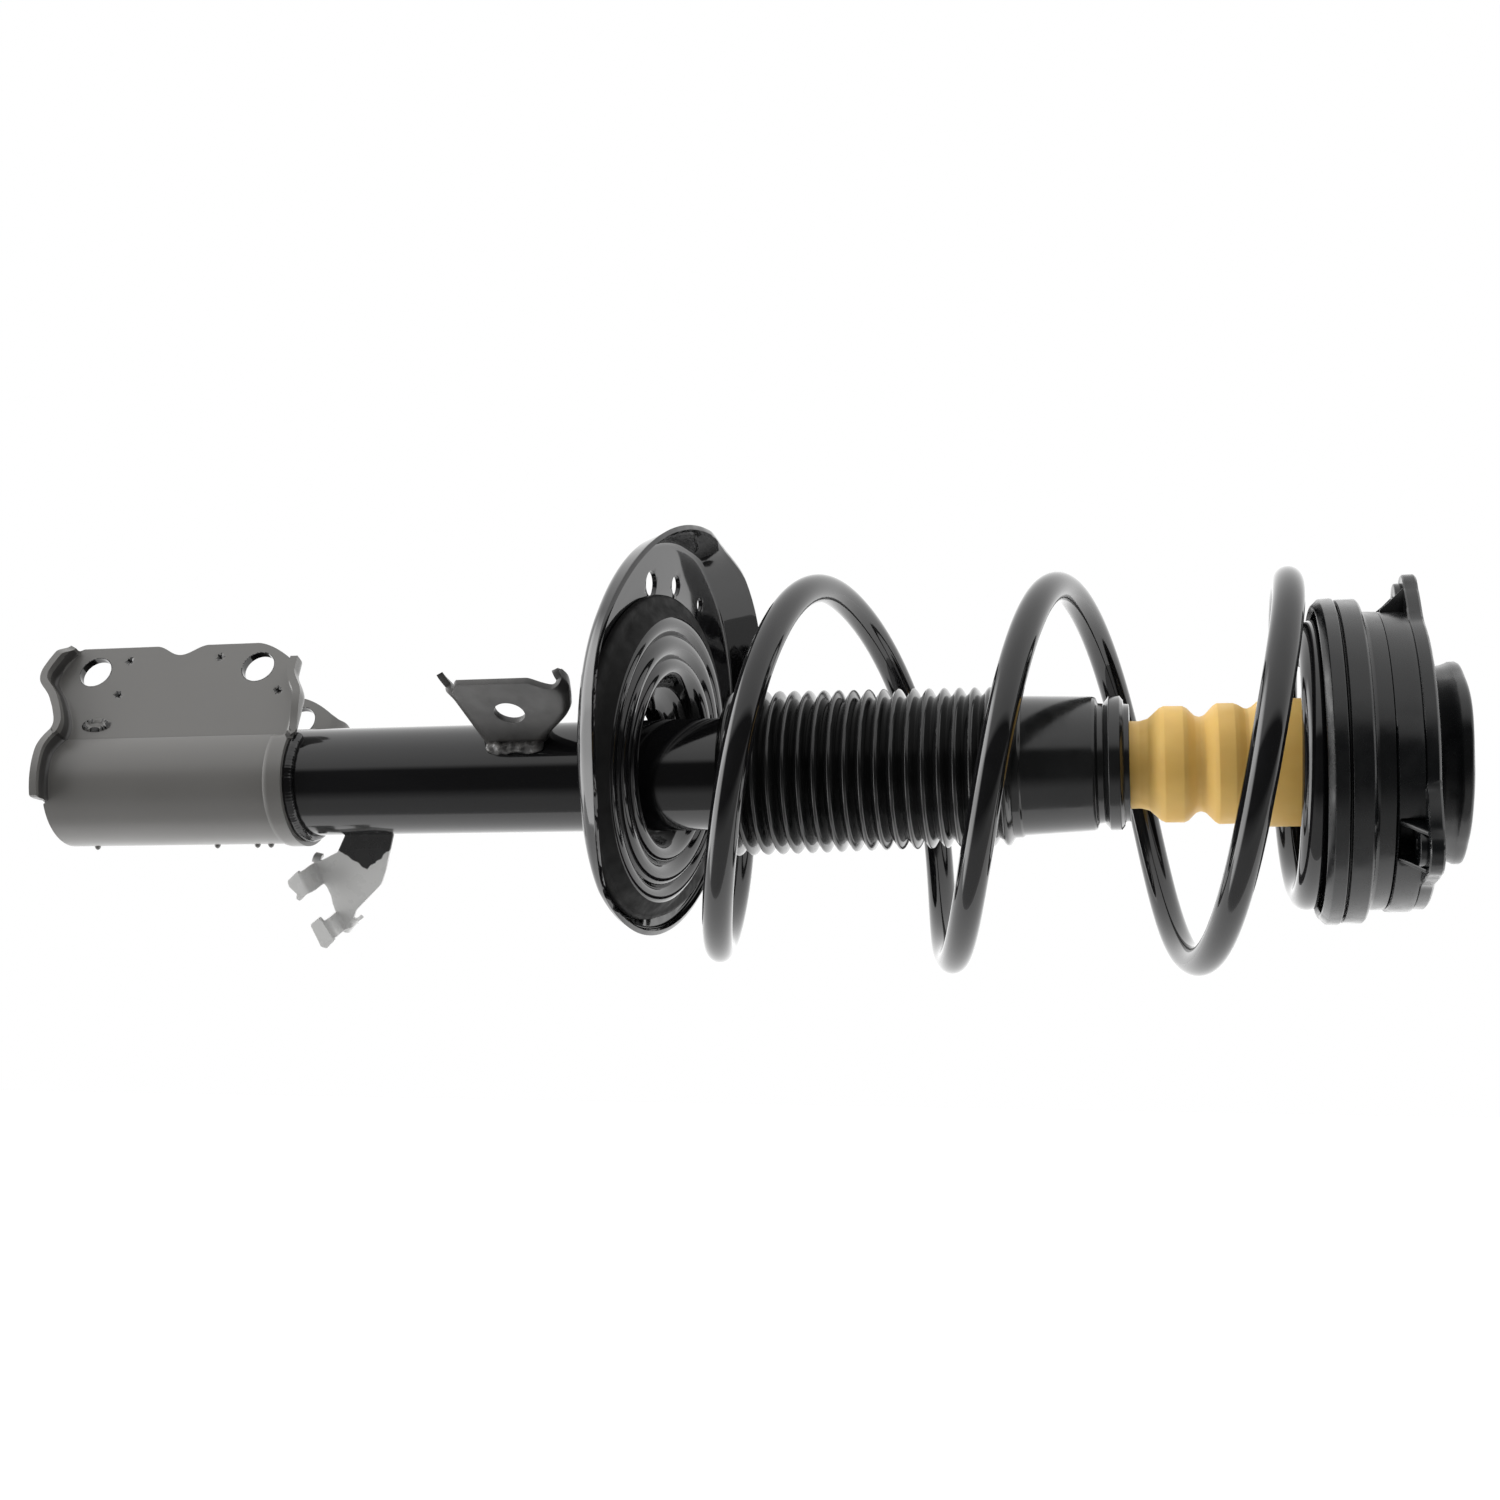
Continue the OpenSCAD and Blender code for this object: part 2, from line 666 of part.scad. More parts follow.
damper_tube();
tube_base_cap();
pressure_tube();
base_valve();
rod_guide();
oil_seal();
tube_end_cap();
knuckle_bracket();
knuckle_weld();
link_bracket();
link_bracket_weld();
hose_clip_bracket();
lower_spring_seat();
lower_seat_weld();
lower_spring_pad();
piston_rod();
piston();
piston_band();
piston_nut();
rebound_stop();
coil_spring();
upper_spring_pad();
dust_boot();
boot_collar();
bump_stop();
bearing_lower();
bearing_upper();
bearing_balls();
bearing_cage();
mount_housing();
mount_rubber();
mount_core();
mount_inserts();
rod_nut();
hub_cap();
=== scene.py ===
"""Strut assembly: looks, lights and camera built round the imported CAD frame.

Lengths are in millimetres until they reach a mesh, where MM turns them into metres.
Azimuths are in degrees round the strut axis.
"""

import json
import math

import bmesh
import bpy
from mathutils import Matrix, Vector, noise


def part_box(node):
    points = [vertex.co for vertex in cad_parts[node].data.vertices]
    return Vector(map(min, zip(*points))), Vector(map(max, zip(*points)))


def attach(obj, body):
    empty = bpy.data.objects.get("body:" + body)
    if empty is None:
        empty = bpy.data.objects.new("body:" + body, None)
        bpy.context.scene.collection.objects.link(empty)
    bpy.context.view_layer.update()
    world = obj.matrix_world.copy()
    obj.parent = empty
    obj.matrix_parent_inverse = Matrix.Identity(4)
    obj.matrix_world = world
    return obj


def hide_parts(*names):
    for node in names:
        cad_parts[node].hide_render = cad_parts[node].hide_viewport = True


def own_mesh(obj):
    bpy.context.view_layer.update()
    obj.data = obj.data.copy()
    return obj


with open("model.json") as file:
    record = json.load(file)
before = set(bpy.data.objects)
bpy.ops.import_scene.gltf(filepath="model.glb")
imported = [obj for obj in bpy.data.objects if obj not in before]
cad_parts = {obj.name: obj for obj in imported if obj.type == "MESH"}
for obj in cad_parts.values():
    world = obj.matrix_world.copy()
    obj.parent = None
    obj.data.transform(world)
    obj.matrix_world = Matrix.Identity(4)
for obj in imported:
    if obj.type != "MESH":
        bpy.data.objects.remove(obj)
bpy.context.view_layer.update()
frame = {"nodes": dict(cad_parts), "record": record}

MM = 0.001

# ---- sizes shared with the CAD frame


def low(node, axis):
    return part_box(node)[0][axis] / MM


def high(node, axis):
    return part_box(node)[1][axis] / MM


TUBE_R = high("damper_tube", 0)
TUBE_LOW = low("damper_tube", 2)
TUBE_TOP = high("damper_tube", 2)
PHOTO_UP = 30.6  # azimuth of the camera's upward direction


def polar(radius, azimuth):
    a = math.radians(azimuth)
    return radius * math.cos(a), radius * math.sin(a)


def turned(azimuth, x, y, z):
    """A point turned about the strut axis."""
    a = math.radians(azimuth)
    return x * math.cos(a) - y * math.sin(a), x * math.sin(a) + y * math.cos(a), z


def smooth(t):
    """Rises from 0 to 1 as t does, level at both ends."""
    t = min(1.0, max(0.0, t))
    return t * t * (3 - 2 * t)


def lerp(a, b, t):
    return a + (b - a) * t


def bell(distance):
    """1 at 0, falling smoothly to 0 at 1."""
    return smooth(1 - abs(distance))


# ---- mesh helpers


SHARP = 38.0  # faces that meet at more than this angle keep a sharp edge
SAME_POINT = 2e-7  # vertices closer than this, in metres, are merged


def face_outward(mesh, merge=0.0):
    """Turns every face of a closed mesh outward, after merging vertices closer than merge."""
    bm = bmesh.new()
    bm.from_mesh(mesh)
    if merge:
        bmesh.ops.remove_doubles(bm, verts=bm.verts, dist=merge)
    bmesh.ops.recalc_face_normals(bm, faces=bm.faces)
    bm.to_mesh(mesh)
    bm.free()


def linked(name, data):
    obj = bpy.data.objects.new(name, data)
    bpy.context.scene.collection.objects.link(obj)
    return obj


def make(name, verts, faces, body, material, replaces=(), sharp=SHARP):
    """A piece from vertices in millimetres; it rides on a body and hides the CAD parts it replaces."""
    mesh = bpy.data.meshes.new(name)
    mesh.from_pydata([[c * MM for c in v] for v in verts], [], faces)
    face_outward(mesh, SAME_POINT)
    return finished(linked(name, mesh), body, material, replaces, sharp)


def finished(obj, body, material, replaces, sharp):
    obj.data.materials.append(material)
    shade(obj, sharp)
    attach(obj, body)
    if replaces:
        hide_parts(*replaces)
    return obj


def shade(obj, sharp):
    obj.data.polygons.foreach_set("use_smooth", [True] * len(obj.data.polygons))
    obj.data.set_sharp_from_angle(angle=math.radians(sharp))


def apply_modifiers(obj, sharp=SHARP):
    bpy.context.view_layer.update()
    depsgraph = bpy.context.evaluated_depsgraph_get()
    mesh = bpy.data.meshes.new_from_object(obj.evaluated_get(depsgraph))
    obj.modifiers.clear()
    obj.data = mesh
    face_outward(mesh)
    shade(obj, sharp)
    return obj


def bevelled(obj, width, segments, angle):
    m = obj.modifiers.new("edge", "BEVEL")
    m.width = width * MM
    m.segments = segments
    m.limit_method = "ANGLE"
    m.angle_limit = math.radians(angle)
    m.use_clamp_overlap = True
    m.harden_normals = False
    return obj


def drilled(obj, cutters):
    for c in cutters:
        m = obj.modifiers.new("hole", "BOOLEAN")
        m.operation = "DIFFERENCE"
        m.solver = "EXACT"
        m.object = c
    apply_modifiers(obj)
    for c in cutters:
        bpy.data.objects.remove(c)


def pressed(obj, sheet, cutters, edge, segments=2, sharp=SHARP):
    """Turns a surface into sheet metal of this thickness, with drilled holes and rounded edges."""
    m = obj.modifiers.new("sheet", "SOLIDIFY")
    m.thickness = sheet * MM
    m.offset = 0
    apply_modifiers(obj)
    drilled(obj, cutters)
    bevelled(obj, edge, segments, 50)
    apply_modifiers(obj, sharp)


def gathered(name, pieces, body, material, replaces, sharp):
    """One piece from several closed shells; the shells are used up."""
    mesh = bpy.data.meshes.new(name)
    bm = bmesh.new()
    for piece in pieces:
        bm.from_mesh(piece.data)
        bpy.data.objects.remove(piece)
    bm.to_mesh(mesh)
    bm.free()
    return finished(linked(name, mesh), body, material, replaces, sharp)


def cutter(radius, p0, p1, segments=64):
    """A round bar from p0 to p1, used to drill a hole."""
    a, b = Vector(p0), Vector(p1)
    d = (b - a).normalized()
    side = d.orthogonal().normalized()
    up = d.cross(side)
    verts = ring(a, side, up, radius, segments) + ring(b, side, up, radius, segments)
    return tool(verts, bar(2, segments))


def tool(verts, faces):
    """A bare closed shell, used only to combine with another one."""
    mesh = bpy.data.meshes.new("tool")
    mesh.from_pydata([[c * MM for c in v] for v in verts], [], faces)
    face_outward(mesh)
    return linked("tool", mesh)


def rounded(points, radius, steps=4):
    """An outline with its corners rounded; a point may carry its own radius as a third number."""
    out = []
    n = len(points)
    for i, p in enumerate(points):
        r = p[2] if len(p) > 2 else radius
        if r <= 0:
            out.append((p[0], p[1]))
            continue
        here = Vector(p[:2])
        to_a = Vector(points[i - 1][:2]) - here
        to_b = Vector(points[(i + 1) % n][:2]) - here
        turn = to_a.angle(to_b, math.pi)
        if turn > math.radians(176) or turn < math.radians(4):
            out.append((p[0], p[1]))
            continue
        cut = min(r / math.tan(turn / 2), to_a.length * 0.48, to_b.length * 0.48)
        a = here + to_a.normalized() * cut
        b = here + to_b.normalized() * cut
        for k in range(steps + 1):
            t = k / steps
            q = a * (1 - t) ** 2 + here * 2 * t * (1 - t) + b * t * t
            out.append((q.x, q.y))
    return out


ON_AXIS = 1e-4


def lathe(name, profile, body, material, replaces, segments, sharp=SHARP, wobble=None):
    """A closed outline of (radius, height) points turned round the axis.

    wobble gives each point its shifts in x, y and radius.
    """
    n = len(profile)
    verts = []
    for k in range(segments):
        a = 2 * math.pi * k / segments
        for r, z in profile:
            dx, dy, dr = wobble(r, z, a) if wobble else (0, 0, 0)
            verts.append(((r + dr) * math.cos(a) + dx, (r + dr) * math.sin(a) + dy, z))

    def on_axis(i):
        return profile[i % n][0] < ON_AXIS and profile[(i + 1) % n][0] < ON_AXIS

    faces = [face for face in quads(segments, n) if not on_axis(face[0] % n)]
    return make(name, verts, faces, body, material, replaces, sharp)


def join_shells(shells):
    """One vertex and face list from several closed shells."""
    verts, faces = [], []
    for v, f in shells:
        base = len(verts)
        verts += [tuple(p) for p in v]
        faces += [[base + i for i in face] for face in f]
    return verts, faces


OPEN_SHEET = (False, False)


def quads(columns, rows, closed=(True, True)):
    """Faces between columns of vertices; closed says if the columns, and the rows, form a ring."""
    faces = []
    for i in range(columns if closed[0] else columns - 1):
        m = (i + 1) % columns
        for k in range(rows if closed[1] else rows - 1):
            j = (k + 1) % rows
            faces.append([i * rows + k, m * rows + k, m * rows + j, i * rows + j])
    return faces


def round_points(rings, sides, point):
    """Vertices of a round bead or bar: point(i, q) for each ring i and each angle q round it."""
    return [point(i, 2 * math.pi * k / sides) for i in range(rings) for k in range(sides)]


def bar(rings, sides):
    """Faces of a solid bar: rings of vertices joined one after the other, with a face at each end."""
    last = (rings - 1) * sides
    walls = [[a, d, c, b] for a, b, c, d in quads(rings, sides, (False, True))]
    return walls + [list(range(sides - 1, -1, -1)), list(range(last, last + sides))]


def ring(centre, side, up, radius, sides):
    """Points of a circle round centre, in the plane of side and up."""
    angles = (2 * math.pi * k / sides for k in range(sides))
    return [centre + (side * math.cos(q) + up * math.sin(q)) * radius for q in angles]


def prism(outline, place, depth0, depth1):
    """A closed shell: a 2D outline between two depths; place(u, v, w) gives the point."""
    n = len(outline)
    verts = [place(u, v, depth0) for u, v in outline] + [place(u, v, depth1) for u, v in outline]
    faces = [[i, (i + 1) % n, n + (i + 1) % n, n + i] for i in range(n)]
    faces += [list(range(n - 1, -1, -1)), list(range(n, 2 * n))]
    return verts, faces


def ribbon(path, across, width, thickness, normals):
    """A closed strip of sheet along path: across is its width direction, normals its face directions."""
    corners = ((-0.5, -0.5), (0.5, -0.5), (0.5, 0.5), (-0.5, 0.5))
    verts = [Vector(p) + across * side * width + normal * face * thickness
             for p, normal in zip(path, normals) for side, face in corners]
    return verts, bar(len(path), len(corners))


# ---- materials


def fill(node, values):
    """Gives each named input of a node its value."""
    for name, value in values.items():
        node.inputs[name].default_value = value


def shader_of(m):
    return m.node_tree.nodes["Principled BSDF"]


def material(name, colour, roughness, metallic=0.0, coat=0.0, specular=0.5):
    m = bpy.data.materials.new(name)
    m.use_nodes = True
    fill(shader_of(m), {"Base Color": (*colour, 1), "Roughness": roughness, "Metallic": metallic,
                        "Coat Weight": coat, "Coat Roughness": 0.05, "Specular IOR Level": specular})
    return m


def pattern(m, scale, stretch=(1, 1, 1), detail=4.0):
    """Procedural noise on object coordinates; returns its output socket."""
    tree = m.node_tree
    coords = tree.nodes.new("ShaderNodeTexCoord")
    mapping = tree.nodes.new("ShaderNodeMapping")
    mapping.inputs["Scale"].default_value = stretch
    tex = tree.nodes.new("ShaderNodeTexNoise")
    fill(tex, {"Scale": scale, "Detail": detail})
    tree.links.new(coords.outputs["Object"], mapping.inputs["Vector"])
    tree.links.new(mapping.outputs["Vector"], tex.inputs["Vector"])
    return tex.outputs["Fac"]


def remap(m, source, low_in, high_in, low_out, high_out, shape="LINEAR"):
    """Maps one range of a socket's value to another, for a material or the world."""
    node = m.node_tree.nodes.new("ShaderNodeMapRange")
    node.interpolation_type = shape
    fill(node, {"From Min": low_in, "From Max": high_in, "To Min": low_out, "To Max": high_out})
    m.node_tree.links.new(source, node.inputs["Value"])
    return node.outputs["Result"]


def arithmetic(m, operation, a, b):
    """A sum on two sockets or numbers, for a material or the world."""
    node = m.node_tree.nodes.new("ShaderNodeMath")
    node.operation = operation
    for socket, value in zip(node.inputs, (a, b)):
        if isinstance(value, float):
            socket.default_value = value
        else:
            m.node_tree.links.new(value, socket)
    return node.outputs["Value"]


def bump(m, source, strength, distance):
    """Adds a bump on top of any the material has."""
    tree = m.node_tree
    normal = shader_of(m).inputs["Normal"]
    node = tree.nodes.new("ShaderNodeBump")
    fill(node, {"Strength": strength, "Distance": distance * MM})
    tree.links.new(source, node.inputs["Height"])
    for link in normal.links:
        tree.links.new(link.from_socket, node.inputs["Normal"])
    tree.links.new(node.outputs["Normal"], normal)


def vary(m, socket, source, low_out, high_out, low_in=0.3, high_in=0.7):
    """Drives a number socket of the shader with a pattern."""
    values = remap(m, source, low_in, high_in, low_out, high_out)
    m.node_tree.links.new(values, shader_of(m).inputs[socket])


def tint(m, source, colour_a, colour_b, low_in=0.35, high_in=0.65):
    """Mixes two colours by a pattern into the base colour."""
    tree = m.node_tree
    ramp = tree.nodes.new("ShaderNodeValToRGB")
    ends = ((low_in, colour_a), (high_in, colour_b))
    for element, (position, colour) in zip(ramp.color_ramp.elements, ends):
        element.position = position
        element.color = (*colour, 1)
    tree.links.new(source, ramp.inputs["Fac"])
    tree.links.new(ramp.outputs["Color"], shader_of(m).inputs["Base Color"])


def gloss_paint():
    m = material("gloss_black_paint", (0.004, 0.004, 0.0045), 0.06, specular=0.55)
    tint(m, pattern(m, 60), (0.003, 0.003, 0.0035), (0.006, 0.006, 0.0065))
    vary(m, "Roughness", pattern(m, 35, (1, 1, 0.25)), 0.03, 0.1)
    bump(m, pattern(m, 700, detail=2), 0.02, 0.04)
    bump(m, pattern(m, 60, detail=2), 0.04, 0.3)
    return m


def tube_paint():
    m = material("tube_gloss_paint", (0.004, 0.004, 0.0045), 0.1, specular=0.55)
    tint(m, pattern(m, 40, (1, 1, 0.2)), (0.0032, 0.0032, 0.0036), (0.0065, 0.0065, 0.007))
    vary(m, "Roughness", pattern(m, 60, (1, 1, 0.06), 5), 0.06, 0.16)
    bump(m, pattern(m, 420, (1, 1, 0.03), 3), 0.03, 0.08)
    bump(m, pattern(m, 38, (1, 1, 0.12), 3), 0.12, 0.55)
    return m


def satin_paint():
    m = material("satin_black_paint", (0.13, 0.127, 0.121), 0.32, specular=0.6)
    tint(m, pattern(m, 14, detail=6), (0.122, 0.119, 0.113), (0.138, 0.135, 0.128), 0.2, 0.8)
    vary(m, "Roughness", pattern(m, 40, detail=6), 0.29, 0.36, 0.2, 0.8)
    bump(m, pattern(m, 1500, detail=2), 0.08, 0.04)
    bump(m, pattern(m, 60, (1, 1, 0.4), 3), 0.06, 0.3)
    return m


def link_paint():
    m = material("link_bracket_paint", (0.045, 0.044, 0.043), 0.4, specular=0.5)
    tint(m, pattern(m, 50), (0.036, 0.035, 0.034), (0.058, 0.056, 0.054))
    vary(m, "Roughness", pattern(m, 120), 0.3, 0.5)
    bump(m, pattern(m, 1300, detail=2), 0.1, 0.05)
    return m


CLIP_LIGHT = (0.62, 0.62, 0.61)
# the dark colour below is a painted reflection of the black tube
CLIP_PAINTED_REFLECTION = (0.012, 0.012, 0.012)
REFLECTION_PATCH_Z = -476.0  # height of the point of the painted reflection of the tube
REFLECTION_PATCH_SLOPE = 0.7
REFLECTION_PATCH_EDGE = (41.8, 42.4)  # distance from the strut axis over which the painted reflection of the tube fades into the light paint


def clip_paint():
    """Light paint with a painted reflection of the tube: a dark patch, in a V, where the plate meets the
    tube.
    """
    m = material("clip_paint", CLIP_LIGHT, 0.3)
    tree = m.node_tree
    coords = tree.nodes.new("ShaderNodeTexCoord")
    split = tree.nodes.new("ShaderNodeSeparateXYZ")
    tree.links.new(coords.outputs["Object"], split.inputs["Vector"])

    square = arithmetic(m, "ADD", arithmetic(m, "POWER", split.outputs["X"], 2.0),
                        arithmetic(m, "POWER", split.outputs["Y"], 2.0))
    along = arithmetic(m, "ABSOLUTE", arithmetic(m, "ADD", split.outputs["Z"], -REFLECTION_PATCH_Z * MM), 0.0)
    reach = arithmetic(m, "ADD", arithmetic(m, "POWER", square, 0.5),
                       arithmetic(m, "MULTIPLY", along, REFLECTION_PATCH_SLOPE))
    ragged = arithmetic(m, "ADD", reach, remap(m, pattern(m, 220), 0.3, 0.7, -0.7 * MM, 0.7 * MM))
    outside_reflection = remap(m, ragged, REFLECTION_PATCH_EDGE[0] * MM, REFLECTION_PATCH_EDGE[1] * MM, 0.0, 1.0)
    # mixes the dark colour of the painted reflection into the light paint near the tube
    tint(m, outside_reflection, CLIP_PAINTED_REFLECTION, CLIP_LIGHT, 0.0, 1.0)
    vary(m, "Roughness", pattern(m, 150), 0.22, 0.38)
    bump(m, pattern(m, 1400, detail=2), 0.05, 0.03)
    return m


def spring_paint():
    m = material("spring_powder_coat", (0.004, 0.004, 0.0045), 0.07, specular=0.6)
    tint(m, pattern(m, 80), (0.0035, 0.0035, 0.004), (0.006, 0.006, 0.0065))
    vary(m, "Roughness", pattern(m, 45), 0.04, 0.11)
    bump(m, pattern(m, 350, detail=2), 0.03, 0.06)
    bump(m, pattern(m, 70, detail=2), 0.06, 0.3)
    return m


def weld_paint():
    m = material("painted_weld", (0.05, 0.048, 0.045), 0.35, coat=0.2)
    tint(m, pattern(m, 260), (0.02, 0.02, 0.02), (0.14, 0.135, 0.13))
    bump(m, pattern(m, 260, detail=4), 0.7, 0.8)
    return m


def boot_rubber():
    m = material("boot_elastomer", (0.005, 0.0055, 0.006), 0.16, specular=0.55)
    tint(m, pattern(m, 50), (0.0055, 0.0058, 0.006), (0.0105, 0.0108, 0.011))
    vary(m, "Roughness", pattern(m, 90), 0.1, 0.24)
    bump(m, pattern(m, 500, detail=3), 0.08, 0.08)
    return m


def plain_rubber():
    m = material("matt_rubber", (0.004, 0.004, 0.004), 0.55, specular=0.16)
    tint(m, pattern(m, 90), (0.0025, 0.0025, 0.0025), (0.006, 0.006, 0.006))
    vary(m, "Roughness", pattern(m, 140), 0.5, 0.75)
    bump(m, pattern(m, 900, detail=4), 0.2, 0.08)
    return m


def mount_plastic():
    m = material("glass_filled_plastic", (0.006, 0.0065, 0.007), 0.3, specular=0.5)
    tint(m, pattern(m, 70, detail=5), (0.0025, 0.003, 0.0035), (0.006, 0.0065, 0.007))
    vary(m, "Roughness", pattern(m, 110, detail=5), 0.16, 0.34)
    bump(m, pattern(m, 1100, detail=4), 0.06, 0.05)
    bump(m, pattern(m, 120, detail=3), 0.05, 0.25)
    return m


def tan_foam():
    m = material("tan_foam", (0.56, 0.34, 0.11), 0.55, specular=0.35)
    tint(m, pattern(m, 38, (1, 1, 0.6), 5), (0.70, 0.43, 0.105), (0.82, 0.54, 0.155), 0.32, 0.7)
    vary(m, "Roughness", pattern(m, 120), 0.45, 0.65)
    bump(m, pattern(m, 900, detail=4), 0.18, 0.12)
    bump(m, pattern(m, 160, detail=3), 0.12, 0.3)
    fill(shader_of(m), {"Subsurface Weight": 0.25, "Subsurface Radius": (0.006, 0.004, 0.0015),
                        "Subsurface Scale": 1.0})
    return m


def metal(name, colour, roughness, stretch=(1, 1, 12)):
    m = material(name, colour, roughness, metallic=1.0)
    vary(m, "Roughness", pattern(m, 300, stretch), roughness * 0.7, roughness * 1.4)
    bump(m, pattern(m, 600, stretch, 2), 0.05, 0.02)
    return m


def brown_plastic():
    m = material("brown_plastic", (0.25, 0.19, 0.12), 0.5)
    tint(m, pattern(m, 120), (0.22, 0.16, 0.1), (0.29, 0.22, 0.14))
    vary(m, "Roughness", pattern(m, 200), 0.4, 0.6)
    return m


PAINT = gloss_paint()
TUBE_PAINT = tube_paint()
SATIN = satin_paint()
LINK_PAINT = link_paint()
CLIP_PAINT = clip_paint()
SPRING_PAINT = spring_paint()
WELD = weld_paint()
BOOT = boot_rubber()
RUBBER = plain_rubber()
PLASTIC = mount_plastic()
FOAM = tan_foam()
STEEL = metal("turned_steel", (0.5, 0.5, 0.51), 0.3)
ZINC = metal("dark_zinc_plate", (0.09, 0.088, 0.08), 0.4, (1, 1, 1))
CHROME = metal("hard_chrome", (0.75, 0.76, 0.78), 0.08)
BRASS = metal("turned_brass", (0.55, 0.42, 0.2), 0.3)
BROWN = brown_plastic()

CAD_MATERIALS = {
    "gloss_black_paint": PAINT, "satin_black_paint": SATIN, "clip_paint": CLIP_PAINT, "weld_black": WELD,
    "spring_paint": SPRING_PAINT, "machined_steel": STEEL, "zinc_steel": ZINC, "bearing_steel": CHROME,
    "chrome_rod": CHROME, "brass_valve": BRASS, "seal_rubber": RUBBER, "pad_rubber": RUBBER,
    "mount_rubber": RUBBER, "boot_plastic": BOOT, "tan_foam": FOAM, "mount_plastic": PLASTIC,
    "band_plastic": BROWN}


def dress_cad_nodes():
    """Every CAD node that stays visible takes the procedural material of its record slot."""
    for part in frame["record"]["subparts"]:
        obj = frame["nodes"][part["node"]]
        obj.data.materials.clear()
        obj.data.materials.append(CAD_MATERIALS[part["material_slot"]])


# ---- damper

SEGMENTS = 176


def build_damper_tube():
    wall = 2.4
    profile = rounded([
        (TUBE_R - wall, TUBE_LOW, 0.3), (TUBE_R, TUBE_LOW, 0.8), (TUBE_R, TUBE_TOP, 0.8),
        (TUBE_R - wall, TUBE_TOP, 0.3)], 0.5)
    lathe("damper_tube_body", profile, "strut_body", TUBE_PAINT, ["damper_tube"],
          SEGMENTS)
    base = low("tube_base_cap", 2)
    cap = rounded([(0, base + 2.2), (12, base + 2.2, 4), (17, base, 3), (TUBE_R, base, 2.2),
                   (TUBE_R, TUBE_LOW - 0.1, 0.6), (TUBE_R - wall - 0.1, TUBE_LOW, 0),
                   (TUBE_R - wall - 0.1, TUBE_LOW + 5, 0.5), (17, TUBE_LOW + 5, 1), (15, TUBE_LOW + 1, 1),
                   (0, TUBE_LOW + 1)], 1)
    lathe("pressed_base_cap", cap, "strut_body", TUBE_PAINT, ["tube_base_cap"],
          SEGMENTS)


# ---- knuckle bracket

SHEET = 3.7
MID_R = TUBE_R + SHEET / 2
EAR_FACE = 27.0
EAR_MID = EAR_FACE - SHEET / 2
EAR_REACH = 63.2
KINK = math.degrees(math.asin(EAR_MID / MID_R))
KINK_X = MID_R * math.cos(math.radians(KINK))
BOLT_X = frame["record"]["mounts"][2]["pos_m"][0] / MM
BOLT_Z = [frame["record"]["mounts"][i]["pos_m"][2] / MM for i in (2, 3)]
BOLT_R = 8.1
BRACKET_TOP = -499.5
BRACKET_LOW = -628.0
WRAP_STEP = 1.3  # the wrap's upper end is this much wider, to clear the weld
WRAP_STEP_Z = -511.6
WALL_ROWS = 170
DIP_LOW, DIP_LENGTH, DIP_DEPTH = -586.0, 28.0, 5.4  # the dip in the ears' outer edge
WAVE_X, WAVE_HALF, WAVE_DEPTH = 48.0, 24.0, 11.0  # the wave in the lower end
CORNER_Z, CORNER_REACH = -530.0, 52.0  # the upper flange stops short of the ears' upper corners
FLANGE_END = {1: 127, -1: 112}  # azimuth at which the lower flange ends, on each side
BEAD_AT = (18.6, -606.0)
BEAD_SLIM = 0.42
NUB_HEIGHTS = (-615, -551, -530, -523)
DIMPLES = ((55.3, -598.5), (35.6, -599.4), (55.7, -550.4), (35.5, -515.2))


def ear_edge(z):
    """The ear's outer edge: a shallow dip between the holes and rounded corners."""
    dip = DIP_DEPTH * (0.5 - 0.5 * math.cos(2 * math.pi * min(1, max(0, (z - DIP_LOW) / DIP_LENGTH))))
    upper = 10.5 * max(0.0, (z + 532) / 20) ** 1.6
    lower = 2.5 * max(0.0, (-625 - z) / 8) ** 2
    return EAR_REACH - dip - min(upper, 13) - min(lower, 5)


def low_line(x):
    """The bracket's lower end: one deep wave by the lower bolt hole and a shallow rise by the tube."""
    wave = WAVE_DEPTH * (0.5 + 0.5 * math.cos(math.pi * min(1, abs(x - WAVE_X) / WAVE_HALF)))
    return BRACKET_LOW - wave + 4.5 * bell((x - 15) / 15)


def top_line(x):
    """The bracket's upper end, which falls towards the ears' outer corners and a little at the tube."""
    return BRACKET_TOP - 6 * smooth((x - 34) / 20) - 1.5 * smooth((KINK_X + 2 - x) / 4)


def from_bead(x, z):
    """Distance from the middle of the raised bead, which is a tall oval."""
    return math.hypot((x - BEAD_AT[0]) / BEAD_SLIM, z - BEAD_AT[1])


def ear_relief(x, z):
    """Dimples by the bolt holes and the raised bead next to the tube."""
    depth = 0.0
    for px, pz in DIMPLES:
        depth -= 1.3 * smooth((2.1 - math.hypot(x - px, z - pz)) / 0.9)
    off = from_bead(x, z)
    return depth + 0.9 * smooth((7.4 - off) / 1.5) - 0.55 * smooth((5.2 - off) / 1.5)


def bracket_stations():
    """Stations round the section: (side, kind, f or angle, flange width below, flange width above)."""
    stations = []
    ear_n, arc_n = 96, 140
    for side in (1, -1):
        half = []
        for i in range(ear_n):
            out = 1 - i / ear_n
            width_low = lerp(10.4, 5.5, smooth((out - 0.9) / 0.1))
            width_top = lerp(4.4, 8.8, smooth(out / 0.5))
            half.append(("ear", out, width_low, width_top))
        for i in range(arc_n // 2 + 1):
            a = KINK + (180 - KINK) * i / (arc_n // 2)
            width_low = 9.4 * smooth((FLANGE_END[side] + 7 - a) / 9)
            width_top = 4.4 * smooth((KINK + 9 - a) / 10)
            half.append(("arc", a, width_low, width_top))
        if side == 1:
            stations += [(side, *h) for h in half]
        else:
            stations += [(side, *h) for h in reversed(half[:-1])]
    return stations


